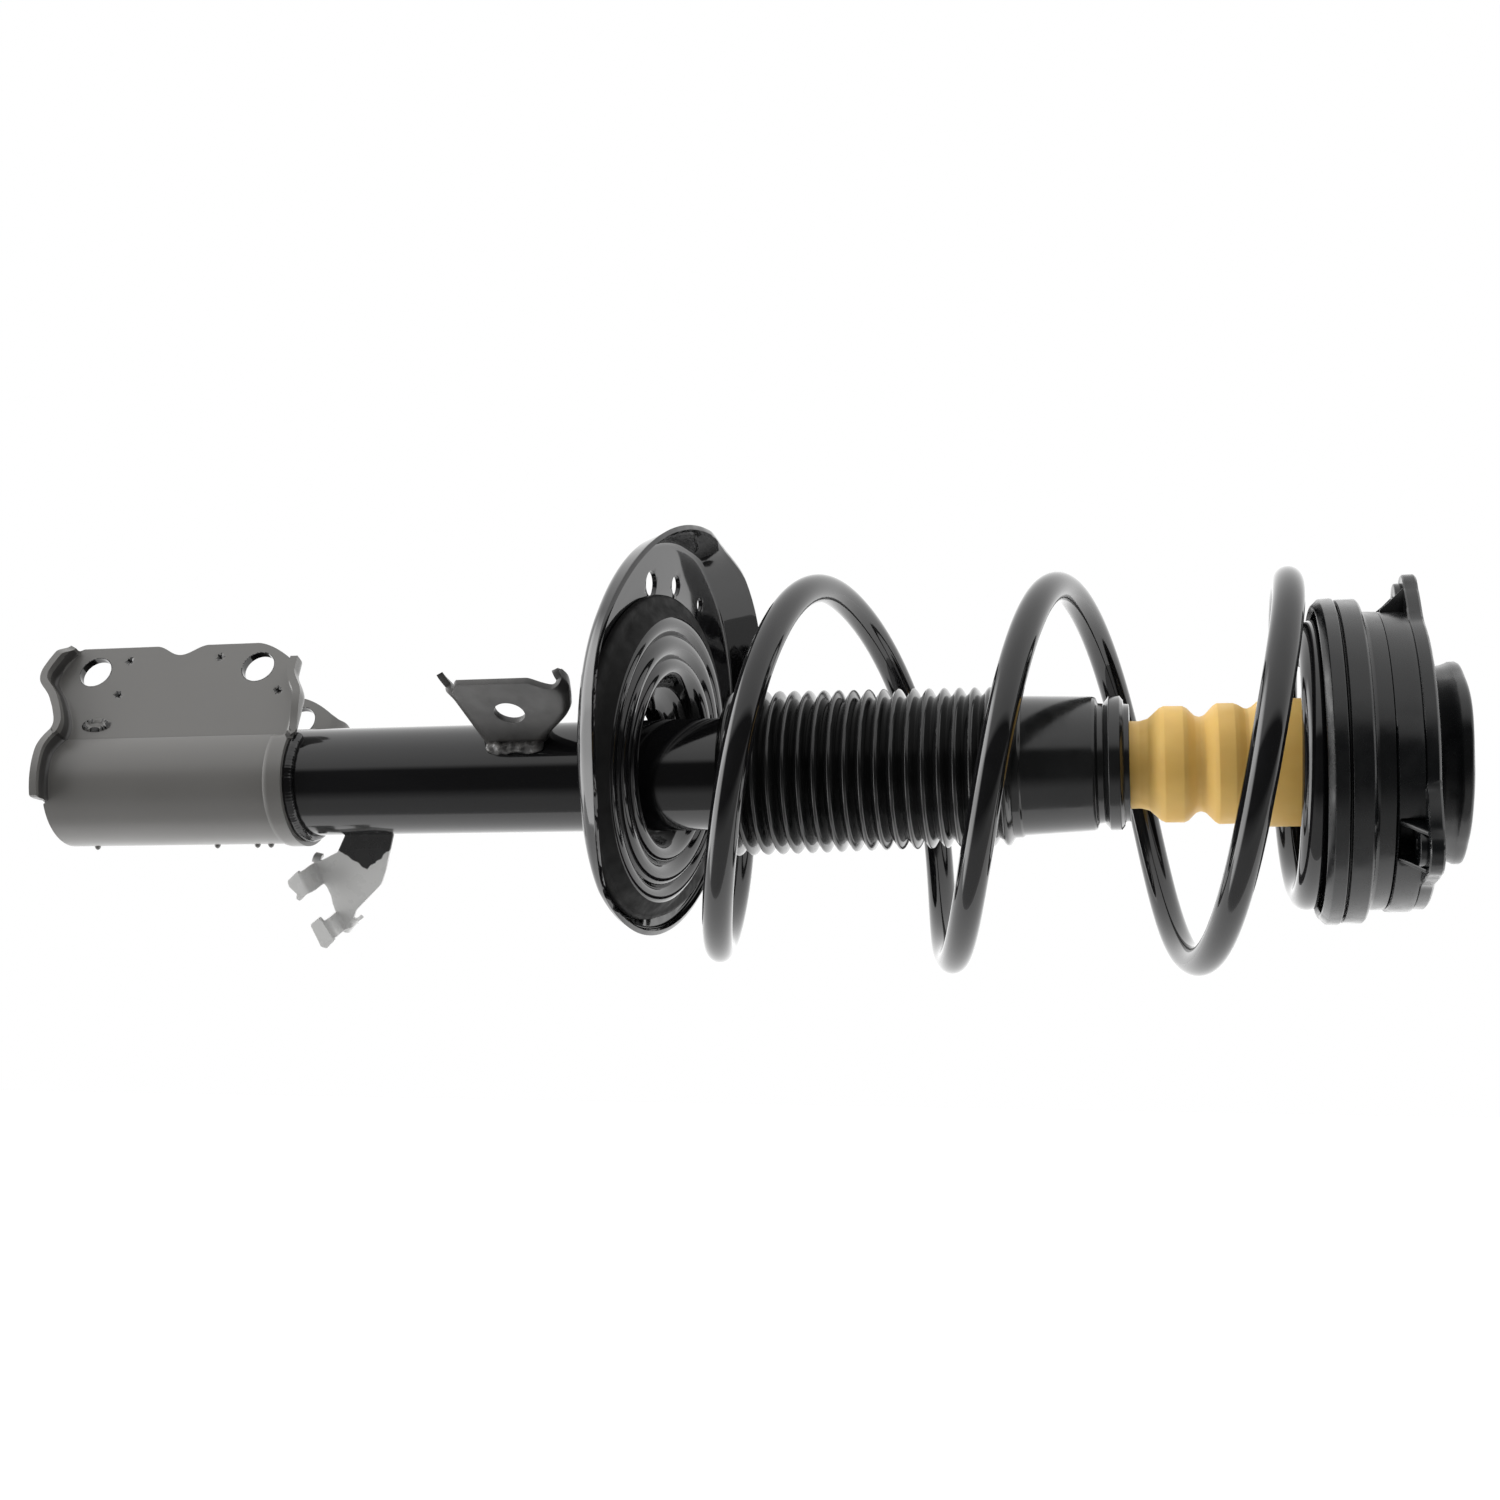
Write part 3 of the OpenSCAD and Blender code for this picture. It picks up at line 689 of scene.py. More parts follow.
def bracket_profile(z_low, z_top, width_low, width_top):
    """(outward offset, height) points from the lower flange's rim to the upper flange's."""
    bend_low, bend_top, rows = 3.7, 4.6, 8
    pts = []
    a, b = min(bend_low, width_low), min(bend_top, width_top)
    for k in range(rows):
        pts.append((width_low - (width_low - a) * k / rows, z_low))
    for k in range(rows):
        q = math.pi / 2 * k / rows
        pts.append((a * (1 - math.sin(q)), z_low + bend_low * (1 - math.cos(q))))
    z0, z1 = z_low + bend_low, z_top - bend_top
    for k in range(WALL_ROWS + 1):
        pts.append((0.0, z0 + (z1 - z0) * k / WALL_ROWS))
    for k in range(1, rows + 1):
        q = math.pi / 2 * k / rows
        pts.append((b * (1 - math.cos(q)), z1 + bend_top * math.sin(q)))
    for k in range(1, rows + 1):
        pts.append((b + (width_top - b) * k / rows, z_top))
    return pts


def bracket_point(side, kind, f, offset, z):
    """A point of the sheet's middle; f is the share of an ear's reach, or the azimuth on the wrap."""
    if kind == "ear":
        reach = ear_edge(z)
        if z > CORNER_Z:
            reach = min(reach, lerp(reach, CORNER_REACH, smooth(offset / 2.4)))
        x = KINK_X + (reach - KINK_X) * f
        return x, side * (EAR_MID + offset + ear_relief(x, z)), z
    a = math.radians(f)
    r = MID_R + offset + WRAP_STEP * smooth((z - WRAP_STEP_Z) / 0.9) * smooth((f - KINK) / 8)
    return r * math.cos(a), side * r * math.sin(a), z


def build_knuckle_bracket():
    stations = bracket_stations()
    columns = []
    for side, kind, f, width_low, width_top in stations:
        x = KINK_X + (EAR_REACH - KINK_X) * f if kind == "ear" else MID_R * math.cos(math.radians(f))
        z_low = low_line(max(x, -12)) + SHEET / 2
        z_top = top_line(x) - SHEET / 2
        columns.append([bracket_point(side, kind, f, o, z) for o, z in
                        bracket_profile(z_low, z_top, width_low, width_top)])
    verts = [p for c in columns for p in c]
    faces = quads(len(columns), len(columns[0]), OPEN_SHEET)
    obj = make("knuckle_bracket_pressing", verts, faces, "strut_body", SATIN,
               ["knuckle_bracket"])
    holes = [cutter(BOLT_R, (BOLT_X, -60, z), (BOLT_X, 60, z), 80) for z in BOLT_Z]
    pressed(obj, SHEET, holes, 0.5, sharp=17)
    paint_shade_in_recesses(obj)


def paint_shade_in_recesses(obj):
    """Paints shade into the bores, dimples, the bead's outline and the lower flange's hollow, as darker
    materials on their faces.
    """
    obj.data.materials.append(PAINT)
    obj.data.materials.append(LINK_PAINT)
    for face in obj.data.polygons:
        x, y, z = face.center / MM
        bore = any(math.hypot(x - BOLT_X, z - b) < BOLT_R + 0.25 for b in BOLT_Z)
        outward = abs(y) - EAR_MID if x > KINK_X else math.hypot(x, y) - MID_R
        pit = outward > 0 and any(math.hypot(x - px, z - pz) < 1.9 for px, pz in DIMPLES)
        outline = outward > 0 and 5.5 < from_bead(x, z) < 7.5
        rise = z - low_line(max(x, -12)) - SHEET / 2
        hollow = 1.2 < outward < 7.4 and rise < 3.8 and face.normal.z > 0.1 and x < 60
        # faces in these recesses take darker materials as painted shade
        if bore or pit or outline:
            face.material_index = 1
        elif hollow:
            face.material_index = 2


def build_bracket_nubs():
    """Small locating nubs on the far underside of the wrap."""
    shells = []
    for z in NUB_HEIGHTS:
        axis = Vector((*polar(1, PHOTO_UP + 180), 0))
        centre = axis * (TUBE_R + SHEET)
        path, widths = [], []
        for k in range(7):
            t = k / 6
            path.append(centre + axis * (-1 + 2.9 * t) + Vector((0, 0, z)))
            widths.append(3.2 * math.sqrt(max(0.02, 1 - t ** 2.4)))
        shells.append(round_stack(path, widths, 20))
    verts, faces = join_shells(shells)
    make("wrap_locating_nubs", verts, faces, "strut_body", SATIN)


def round_stack(path, diameters, sides):
    """A closed round shell through path points with the given diameters."""
    verts = []
    for i, (p, diameter) in enumerate(zip(path, diameters)):
        d = (path[min(i + 1, len(path) - 1)] - path[max(i - 1, 0)]).normalized()
        side = d.orthogonal().normalized()
        verts += ring(p, side, d.cross(side), diameter / 2, sides)
    return verts, bar(len(path), sides)


def build_knuckle_weld():
    """A painted bead between the wrap's upper end and the tube."""
    middle = high("knuckle_weld", 2) - 4.6
    start, end, steps, sides = KINK - 4, 360 - KINK + 4, 240, 14

    def point(i, q):
        ripple = 0.15 * math.sin(i * 1.9) + 0.8 * noise.noise(Vector((i * 0.11, 3.1, 0)))
        r = TUBE_R + 0.7 + (2.3 + 0.3 * ripple) * math.cos(q)
        return *polar(r, lerp(start, end, i / steps)), middle + (3.2 + 0.5 * ripple) * math.sin(q)

    verts = round_points(steps + 1, sides, point)
    make("knuckle_weld_bead", verts, bar(steps + 1, sides), "strut_body", PAINT,
         ["knuckle_weld"], 60)


# ---- link bracket

LINK_AZ = 83.8
LINK_SHEET = 3.0
LINK_REACH = 69.4
LINK_HOLE = (48.8, -387.5)


def link_place(x, y, z):
    """From the bracket's own axes (outward, normal, up) to the row frame."""
    return turned(LINK_AZ, x, y, z)


def link_left(x):
    """Height of the web's left edge at a distance from the axis."""
    return lerp(-406, -411.5, (x - TUBE_R) / 36) - 1.5 * smooth((x - 56) / 12)


def link_right(x):
    """Height of the web's right edge at a distance from the axis."""
    rise = lerp(-378, -361.5, smooth((x - 24) / 26))
    return rise + 2.6 * smooth((x - 44) / 16) - 3 * smooth((x - 60) / 9)


def link_reach(kind, f):
    """How far out from the axis each strip of the sheet reaches; the web has a notch by each flange."""
    if kind == "left":
        return lerp(63.0, 69.0, smooth(f))
    if kind == "left_bend":
        return 63.0
    if kind == "right_bend":
        return lerp(64.4, 65.5, f)
    if kind == "right":
        return lerp(65.5, 68.5, math.sin(math.pi * min(1, f * 1.1) / 2)) - 4 * smooth((f - 0.55) / 0.45)
    notch, length = (5.4, 0.09) if f < 0.5 else (5.0, 0.2)
    return LINK_REACH - notch * (1 - smooth(min(f, 1 - f) / length))


def build_link_bracket():
    """A web that stands out from the tube, between two flanges bent away from the photographer."""
    bend, n_left, n_bend, n_web, n_right, n_rise = 3.6, 6, 8, 44, 8, 54
    strips = [("left", 1 - k / n_left) for k in range(n_left)]  # from the left flange's rim
    strips += [("left_bend", k / n_bend) for k in range(n_bend)]
    strips += [("web", k / n_web) for k in range(n_web + 1)]
    strips += [("right_bend", k / n_bend) for k in range(1, n_bend + 1)]
    strips += [("right", k / n_right) for k in range(1, n_right + 1)]

    verts = []
    mid = -LINK_SHEET / 2
    for kind, f in strips:
        for j in range(n_rise + 1):
            x = lerp(TUBE_R - 2.5, link_reach(kind, f), j / n_rise)
            zl, zr = link_left(x), link_right(x)
            if kind == "web":
                p = (x, mid, lerp(zl + bend, zr - bend, f))
            elif kind == "left_bend":
                q = math.pi / 2 * f
                p = (x, mid - bend * (1 - math.sin(q)), zl + bend * (1 - math.cos(q)))
            elif kind == "left":
                p = (x, mid - bend - 2.2 * f, zl - 1.2 * f)
            elif kind == "right_bend":
                q = math.pi / 2 * f
                p = (x, mid - bend * (1 - math.cos(q)), zr - bend * (1 - math.sin(q)))
            else:
                depth = 5.5 + 4 * smooth((50 - x) / 24)
                p = (x, mid - bend - depth * f, zr - 1.5 * f)
            verts.append(link_place(*p))
    faces = quads(len(strips), n_rise + 1, OPEN_SHEET)
    obj = make("link_bracket_pressing", verts, faces, "strut_body", LINK_PAINT,
               ["link_bracket"])
    x, z = LINK_HOLE
    pressed(obj, LINK_SHEET, [cutter(7.0, link_place(x, -20, z), link_place(x, 10, z), 72)], 0.4)


def build_link_weld():
    """A lumpy bead where the bracket meets the tube."""
    steps, sides = 70, 16

    def point(i, q):
        t = i / steps
        z = lerp(-405, -378, t)
        swell = 0.35 + 0.65 * math.sqrt(max(0.0, 1 - (2 * t - 1) ** 4))
        lump = noise.noise(Vector((z * 0.28, math.cos(q) * 1.3, math.sin(q) * 1.3))) * 1.2
        y = 1.4 + (3.4 + lump) * swell * math.cos(q)
        x = TUBE_R + 0.6 + (2.4 + lump * 0.7) * swell * math.sin(q)
        return link_place(x, y, z + 0.4 * lump)

    verts = round_points(steps + 1, sides, point)
    make("link_weld_bead", verts, bar(steps + 1, sides), "strut_body", WELD,
         ["link_bracket_weld"], 60)


# ---- hose clip bracket

CLIP_AZ = 225.6
CLIP_FACE = -6.6
CLIP_SHEET = 2.0
ARM_DIRECTION = (0.335, -0.942)
ARM_REACH = 11.0
RIBBON_SHEET = CLIP_SHEET - 0.06  # bent strips are a hair thinner, so that no face lies in another's plane


def clip_place(x, z, y):
    """From the bracket's own axes (outward, up, normal) to the row frame."""
    return turned(CLIP_AZ, x, y, z)


def clip_vector(p, y):
    return Vector(clip_place(p.x, p.y, y))


def bent_arm(middle, direction, width, reach, tab):
    """A strip that leaves the plate's edge, turns square towards the photographer, then into a tab.

    middle is where its wall stands and direction the way off the plate, both (outward, up).
    """
    d = Vector(direction).normalized()
    side = Vector((-d.y, d.x))
    mid = CLIP_FACE + CLIP_SHEET / 2
    bend, n = 2.4, 6
    path, normals = [], []

    def add(forward, toward, angle):
        p = Vector(middle) + d * forward
        path.append(clip_vector(p, mid - toward))
        normals.append(clip_vector(d * -math.sin(angle), -math.cos(angle)))

    add(-bend - 3.0, 0, 0)
    for k in range(n + 1):
        q = math.pi / 2 * k / n
        add(bend * (math.sin(q) - 1), bend * (1 - math.cos(q)), q)
    for k in range(n + 1):
        q = math.pi / 2 * (1 - k / n)
        add(bend * (1 - math.sin(q)), reach - bend + bend * math.cos(q), q)
    add(bend + tab, reach, 0)
    across = clip_vector(side, 0)
    return ribbon(path, across, width, RIBBON_SHEET, normals)


def bent_hook(foot, direction, width, height):
    """A strip at the plate's edge that turns square away from the photographer and stands height tall."""
    d = Vector(direction).normalized()
    mid = CLIP_FACE + CLIP_SHEET / 2
    bend, n = 2.6, 8
    path, normals = [], []
    for k in range(n + 1):
        q = math.pi / 2 * k / n
        p = Vector(foot) + d * (bend * math.sin(q) - 1.0)
        path.append(clip_vector(p, mid + bend * (1 - math.cos(q))))
        normals.append(clip_vector(d * math.sin(q), -math.cos(q)))
    path.append(clip_vector(Vector(foot) + d * (bend - 1.0), mid + height))
    normals.append(normals[-1])
    return ribbon(path, clip_vector(Vector((-d.y, d.x)), 0), width, RIBBON_SHEET, normals)


def build_clip():
    plate = rounded([
        (22.5, -484), (25.6, -485.6, 2), (33.2, -490.2, 3), (37.9, -500.6, 1), (36.8, -503.3, 1),
        (44.4, -502.3, 1), (46.3, -500.9, 2), (50.6, -498, 3), (54.9, -496.6, 3), (58.8, -496.3, 3),
        (63.7, -495.2, 1), (72.5, -492.0, 1), (66.8, -486.7, 1), (62.6, -484.6, 3), (49.5, -470, 6),
        (43, -466.9, 5), (24.6, -460.5, 2), (22.5, -460)], 1.5)
    shells = [prism(plate, clip_place, CLIP_FACE, CLIP_FACE + CLIP_SHEET)]
    shells.append(bent_arm((44.1, -502.4), ARM_DIRECTION, 11.2, ARM_REACH, 1.6))
    shells.append(bent_arm((68.2, -494.2), ARM_DIRECTION, 9.8, ARM_REACH, 1.6))
    front = CLIP_FACE - ARM_REACH
    upper_tab = rounded([(43.6, -512.4, 1.6), (39.8, -507.8, 1.2), (38.6, -506, 0.6), (45.8, -504.6, 0.4),
                         (50.1, -502.9, 0.6), (53.6, -507.2, 0.8), (52.7, -509.3, 0.8), (50.2, -508.4, 0.8),
                         (46.6, -511.8, 0.8)], 1)
    lower_tab = rounded([(65.7, -503.9, 1.2), (61.9, -498.7, 0.8), (64, -497, 0.6), (73.6, -492.4, 0.6),
                         (77.8, -497, 1.2), (76.9, -500, 1.6)], 1)
    for tab in (upper_tab, lower_tab):
        shells.append(prism(tab, clip_place, front, front + CLIP_SHEET))
    shells.append(bent_hook((70.0, -489.6), (0.72, 0.69), 9.5, 7.0))
    shells.append(bent_hook((37.2, -501.8), (-0.97, 0.25), 4.0, 4.0))
    pieces = [apply_modifiers(bevelled(tool(*shell), 0.35, 2, 40)) for shell in shells]
    gathered("hose_clip_pressing", pieces, "strut_body", CLIP_PAINT,
             ["hose_clip_bracket"], 22)


# ---- lower spring seat

SEAT_R = 94.6
SEAT_T = 2.2
LOWEST_RIM = 4.6
SEAT_OFFSET = polar(23, 5)
SEAT_Z = -332.0
SEAT_TILT = 9.4
SEAT_TILT_AZ = 147
HUB_CENTRE = polar(7.5, PHOTO_UP)
HUB = (HUB_CENTRE[0] - SEAT_OFFSET[0], HUB_CENTRE[1] - SEAT_OFFSET[1])  # in the seat's own axes

SEAT_FRAME = (Matrix.Translation((*SEAT_OFFSET, SEAT_Z))
              @ Matrix.Rotation(math.radians(SEAT_TILT_AZ), 4, "Z")
              @ Matrix.Rotation(math.radians(SEAT_TILT), 4, "Y")
              @ Matrix.Rotation(math.radians(-SEAT_TILT_AZ), 4, "Z"))


def turn(a, b):
    """The signed angle from b to a, between -180 and 180 degrees."""
    return (a - b + 180) % 360 - 180


def rim_height(azimuth):
    """The rim's wall is tall on the far upper side, low on the far lower one and dips by the kink."""
    h = 10.2 + 7.6 * math.cos(math.radians(azimuth + 12))
    h += 7.5 * bell(turn(azimuth, 137) / 50) - 2.6 * bell(turn(azimuth, 9) / 16)
    return max(LOWEST_RIM, h - 4.0 * bell(turn(azimuth, -122) / 45))


SEAT_MID_R = SEAT_R - SEAT_T / 2
BEND_R = (8.2, 3.4)  # by the photographer, on the far side
FLARE = (18.0, 25.0)  # how far the rim's wall leans outward, in degrees, at the same places
FLOOR_H = SEAT_T / 2
DRAIN_HOLES = ((49.0, 69.4, 6.0), (25.2, 67.8, 4.9), (-0.4, 71.1, 3.4))  # azimuth, radius to centre, radius


def seat_rings():
    """Rings from the collar at the tube to the pan: (radius, height, share of the pan's offset)."""
    return [
        (24.2, -9.0, 0), (25.6, -6.0, 0), (27.0, -3.4, 0), (29.4, -1.6, 0), (33.0, -0.6, 0), (35.6, 1.2, 0),
        (37.2, 4.2, 0), (38.4, 7.6, 0), (39.8, 10.2, 0), (41.6, 11.8, 0), (43.6, 12.1, 0), (45.2, 11.2, 0),
        (46.2, 10.0, 0), (47.0, 9.5, 0), (47.9, 9.8, 0), (49.4, 11.0, 0), (51.4, 11.9, 0), (53.4, 11.9, 0),
        (55.4, 10.8, 0), (56.8, 9.2, 0), (57.7, 8.6, 0), (58.6, 9.0, 0), (60.0, 10.3, 0), (62.0, 10.9, 0),
        (64.0, 9.9, 0), (65.6, 7.8, 0), (67.0, 5.2, 0.03), (68.4, 2.9, 0.07), (70.2, 1.6, 0.14),
        (73.0, FLOOR_H, 0.35), (75.5, FLOOR_H, 0.65), (76.8, FLOOR_H, 0.9), (77.8, FLOOR_H, 1)]


def seat_point(radius, height, share, azimuth):
    """A point of the pressing; share moves the ring's centre from the hub's to the pan's."""
    x, y = polar(radius, azimuth)
    return SEAT_FRAME @ Vector((lerp(HUB[0], 0, share) + x, lerp(HUB[1], 0, share) + y, height))


def build_seat():
    rings, steps = seat_rings(), 220
    bend_rows, wall_rows = 9, 6
    verts = []
    for i in range(steps):
        az = 360 * i / steps
        column = [seat_point(r, h, s, az) for r, h, s in rings]
        top = rim_height(az)
        far = 0.5 + 0.5 * math.cos(math.radians(az + 30))
        bend = min(lerp(*BEND_R, far), 0.86 * (top - FLOOR_H))
        flare = math.radians(lerp(*FLARE, far))
        sweep = math.pi / 2 - flare
        knee = FLOOR_H + bend * (1 - math.cos(sweep))
        foot = SEAT_MID_R - (top - knee) * math.tan(flare) - bend * math.sin(sweep)
        for k in range(bend_rows + 1):
            q = sweep * k / bend_rows
            column.append(seat_point(foot + bend * math.sin(q), FLOOR_H + bend * (1 - math.cos(q)), 1, az))
        for k in range(1, wall_rows + 1):
            t = k / wall_rows
            radius = lerp(foot + bend * math.sin(sweep), SEAT_MID_R, t)
            column.append(seat_point(radius, lerp(knee, top, t), 1, az))
        verts += column
    faces = quads(steps, len(rings) + bend_rows + 1 + wall_rows, (True, False))
    obj = make("lower_spring_seat_pressing", verts, faces, "strut_body", PAINT,
               ["lower_spring_seat"])
    holes = []
    for azimuth, radius, r in DRAIN_HOLES:
        x, y = polar(radius, azimuth)
        holes.append(cutter(r, SEAT_FRAME @ Vector((x, y, -8)), SEAT_FRAME @ Vector((x, y, 14)), 48))
    pressed(obj, SEAT_T, holes, 0.6, 3, 50)


def build_seat_weld():
    """A rippled bead under the seat's collar, all round the tube."""
    middle, steps, sides = -344.0, 150, 12

    def point(i, q):
        ripple = 0.3 * math.sin(i * 1.7) + 0.6 * noise.noise(Vector((i * 0.17, 0, 7.7)))
        r = TUBE_R + 0.9 + (2.0 + 0.3 * ripple) * math.cos(q)
        return *polar(r, 360 * i / steps), middle + (2.4 + 0.4 * ripple) * math.sin(q)

    verts = round_points(steps, sides, point)
    make("lower_seat_weld_bead", verts, quads(steps, sides), "strut_body", WELD,
         ["lower_seat_weld"], 60)


PAD_COIL_R = 82.6  # the pad's outer limit round the strut axis, under the coil
PAD_RIM_R = 86.2  # and round the pan's centre, inside the rim


def reach_of_circle(origin, azimuth, centre, radius):
    """How far a ray from origin goes before it leaves the circle."""
    d = Vector(polar(1, azimuth))
    o = Vector(origin) - Vector(centre)
    b = o.dot(d)
    return -b + math.sqrt(max(0.0, b * b - o.dot(o) + radius * radius))


def build_lower_pad():
    """A rubber ring that fills the pan from the stamped hub to the rim and the outside of the coil."""
    steps, inner, floor, thickness = 200, 71.0, 2.7, 3.1
    verts = []
    for i in range(steps):
        az = 360 * i / steps
        outer = min(reach_of_circle(HUB, az, (-SEAT_OFFSET[0], -SEAT_OFFSET[1]), PAD_COIL_R),
                    reach_of_circle(HUB, az, (0, 0), PAD_RIM_R))
        outer = max(outer, inner + 2.4)
        x, y = polar(1, az)
        section = ((64.6, 0), (64.6, 7.3), (65.0, 7.7), (66.6, 6.5), (69.5, 3.9), (inner, thickness),
                   (outer - 2.2, thickness), (outer - 0.9, thickness - 0.4), (outer - 0.2, thickness - 1.3),
                   (outer, 0))
        for r, h in section:
            rise = 0.5 * bell((outer - r - 3.5) / 2.5) if outer - inner > 9 else 0
            verts.append(SEAT_FRAME @ Vector((HUB[0] + x * r, HUB[1] + y * r, floor + h + rise)))
    make("lower_pad_moulding", verts, quads(steps, len(section)), "strut_body", RUBBER,
         ["lower_spring_pad"])


# ---- coil spring

WIRE_D = 13.0
END_CHAMFER = {0: 0.6, 1: 0.18}  # how much thinner the first and second ring of each cut end are
COIL_R, PIGTAIL_R = 81.5, 55.0
COIL_PITCH = 95.3
SPRING_AZ0, SPRING_TURN = -42.0, 1398.0
SPRING_Z0, RAMP_LOW, RAMP_TOP, RAMP_SOFT = -309.4, 94.8, 970.5, 12.0
CLOSED_RISE = 0.0256
BOW_AZ, BOW_RISE = 120.6, 8.0


def softplus(x):
    return x if x / RAMP_SOFT > 30 else RAMP_SOFT * math.log(1 + math.exp(x / RAMP_SOFT))


def wire_height(a):
    fade = lerp(1, 0.3, min(1, max(0, (a - 377) / 360)))
    lean = max(0.0, -math.cos(math.radians(SPRING_AZ0 - a - BOW_AZ))) ** 2
    bow = BOW_RISE * smooth((a - 230) / 100) * (1 - smooth((a - 990) / 80)) * fade * lean
    climb = COIL_PITCH / 360 * (softplus(a - RAMP_LOW) - softplus(a - RAMP_TOP))
    return SPRING_Z0 + CLOSED_RISE * a + bow + climb


def wire_at(a):
    radius = lerp(COIL_R, PIGTAIL_R, smooth((a - 965) / 235))
    shift = lerp(2.7, -2.8, smooth((a - 60) / 520)) + 1.4 * smooth((a - 1050) / 130)
    x, y = polar(radius, SPRING_AZ0 - a)
    dx, dy = polar(shift, PHOTO_UP)
    return Vector((x + dx, y + dy, wire_height(a)))


def build_spring():
    steps, sides = 620, 28
    verts = []
    ends = [0.0, 0.25, 0.5]
    angles = ends + [0.5 + (SPRING_TURN - 1.0) * i / steps for i in range(1, steps)]
    angles += [SPRING_TURN - e for e in reversed(ends)]
    for i, a in enumerate(angles):
        p = wire_at(a)
        t = (wire_at(a + 0.5) - wire_at(a - 0.5)).normalized()
        side = Vector((0, 0, 1)).cross(t).normalized()
        chamfer = END_CHAMFER.get(min(i, len(angles) - 1 - i), 0.0)
        verts += ring(p, side, t.cross(side), WIRE_D / 2 - chamfer, sides)
    obj = make("coil_spring_wire", verts, bar(len(angles), sides), "upper_seat",
               SPRING_PAINT, ["coil_spring"], 50)
    squeeze(obj)


# ---- boot, collar and bump stop


def squeeze(obj):
    """Gives the piece its own copy of its mesh."""
    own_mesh(obj)


def leaning(r, z, a):
    """The boot leans a little upward, in the photo, towards its upper end."""
    dx, dy = polar(1.3 * smooth((z + 300) / 200), PHOTO_UP)
    return dx, dy, 0


def build_boot():
    bottom, top, ribs = low("dust_boot", 2), high("dust_boot", 2), 19
    pitch = (top - bottom) / ribs
    per = 16

    def radius(z, wall):
        t = ((z - bottom) / pitch) % 1.0
        crest = lerp(37.3, 34.9, (z - bottom) / (top - bottom))
        root = 31.6
        # each rib rises steeply, has a rounded crest and falls more slowly
        t = t ** 1.12
        wave = (0.5 - 0.5 * math.cos(2 * math.pi * t)) ** 0.72
        return lerp(root, crest, wave) - wall

    heights = [bottom + pitch * ribs * i / (ribs * per) for i in range(ribs * per + 1)]
    outer = [(radius(z, 0), z) for z in heights]
    inner = [(radius(z, 1.4), z) for z in reversed(heights)]
    obj = lathe("bellows_boot", outer + inner, "upper_seat", BOOT, ["dust_boot"], 150, 60,
                leaning)
    squeeze(obj)


def build_collar():
    z = high("dust_boot", 2)
    outline = rounded([
        (29.4, z - 0.5, 0.4), (31.7, z - 0.5, 0.8), (31.5, z + 3.2, 1), (30.6, z + 4.2, 0.6),
        (29.6, z + 26, 4), (29.2, z + 34.0, 0.8), (28.6, z + 35.4, 0.8), (26.2, z + 36.2, 0.6),
        (26.0, z + 38.6, 0.6),
        (28.2, z + 40.4, 0.7), (29.2, z + 41.0, 0.7), (29.2, z + 45.6, 0.8), (27.8, z + 46.6, 0.6),
        (27.4, z + 47.0, 0.4), (25.6, z + 47.2, 0.5), (25.4, z + 49.6, 0.5), (19.8, z + 49.7, 0.4),
        (19.8, z + 36, 2), (26.4, z + 33, 3), (27.6, z + 10, 3)], 0.6, 4)
    obj = lathe("boot_upper_collar", outline, "upper_seat", BOOT, ["boot_collar"], 150, 42,
                leaning)
    squeeze(obj)


def build_bump_stop():
    top = high("bump_stop", 2)
    bore = 11.6
    outline = rounded([
        (bore, -150, 0.8), (16.5, -150, 1.2), (18.6, -146, 2.5), (19.2, -130, 4), (18.9, -114.5, 3),
        (19.8, -111.0, 3), (24.2, -106.2, 2.0), (25.1, -104.2, 1.2), (25.1, -96.4, 1.4), (24.2, -94.6, 1.8),
        (20.9, -91.4, 2.6),
        (20.3, -89.4, 1.6), (20.9, -87.4, 2.6), (24.9, -83.6, 2.0), (25.9, -82.0, 1.2), (25.9, -75.2, 1.4),
        (25.2, -73.4, 1.6), (23.6, -70.8, 1.6), (23.4, -69.4, 1.2), (24.2, -67.6, 1.6), (26.5, -65.0, 1.8),
        (27.2, -63.0, 1.2), (27.3, -48, 4), (26.9, top, 0.8), (bore, top, 0.8)], 1.0, 4)

    def uneven(r, z, a):
        dx, dy = polar(0.3 * smooth((-60 - z) / 60), PHOTO_UP)
        d = Vector((math.cos(a) * 2.2, math.sin(a) * 2.2, z * 0.06))
        return dx, dy, 0.22 * noise.noise(d) if r > 14 else 0

    obj = lathe("foam_bump_stop", outline, "upper_seat", FOAM, ["bump_stop"], 144, 60, uneven)
    squeeze(obj)


# ---- bearing


def build_bearing():
    """The two race housings; the balls and cage between them are the CAD's own."""
    lower = rounded([
        (13.6, -30, 0.5), (63.4, -30.0, 0.6), (63.9, -31.0, 0.6), (63.9, -41.2, 0.6), (65.2, -42.5, 0.6),
        (66.2, -42.5, 1.0), (68.8, -39.8, 1.2), (69.0, -34.6, 0.8), (66.0, -34.1, 0.4), (65.8, -33.9, 0.3),
        (65.8, -26.7, 0.5), (58.5, -26.6, 0.3), (51.5, -26.6, 0.3), (13.6, -26.6, 0.5)], 0.6, 4)
    lathe("bearing_lower_shell", lower, "upper_seat", PLASTIC, ["bearing_lower"],
          SEGMENTS)
    upper = rounded([
        (40, -20.4, 0.4), (51.6, -20.4, 0.3), (59.4, -20.4, 0.5), (59.6, -25.9, 0.4), (66.4, -25.9, 0.4),
        (66.4, -33.3, 0.4), (68.3, -33.3, 0.5), (68.4, -25.6, 0.8), (67.4, -24.6, 0.8), (63.6, -24.0, 0.8),
        (62.9, -22.6, 1), (62.7, -16.5, 0.4), (40, -16.5, 0.4)], 0.5, 4)
    lathe("bearing_upper_shell", upper, "mount_and_rod", PLASTIC, ["bearing_upper"],
          SEGMENTS)


# ---- top mount

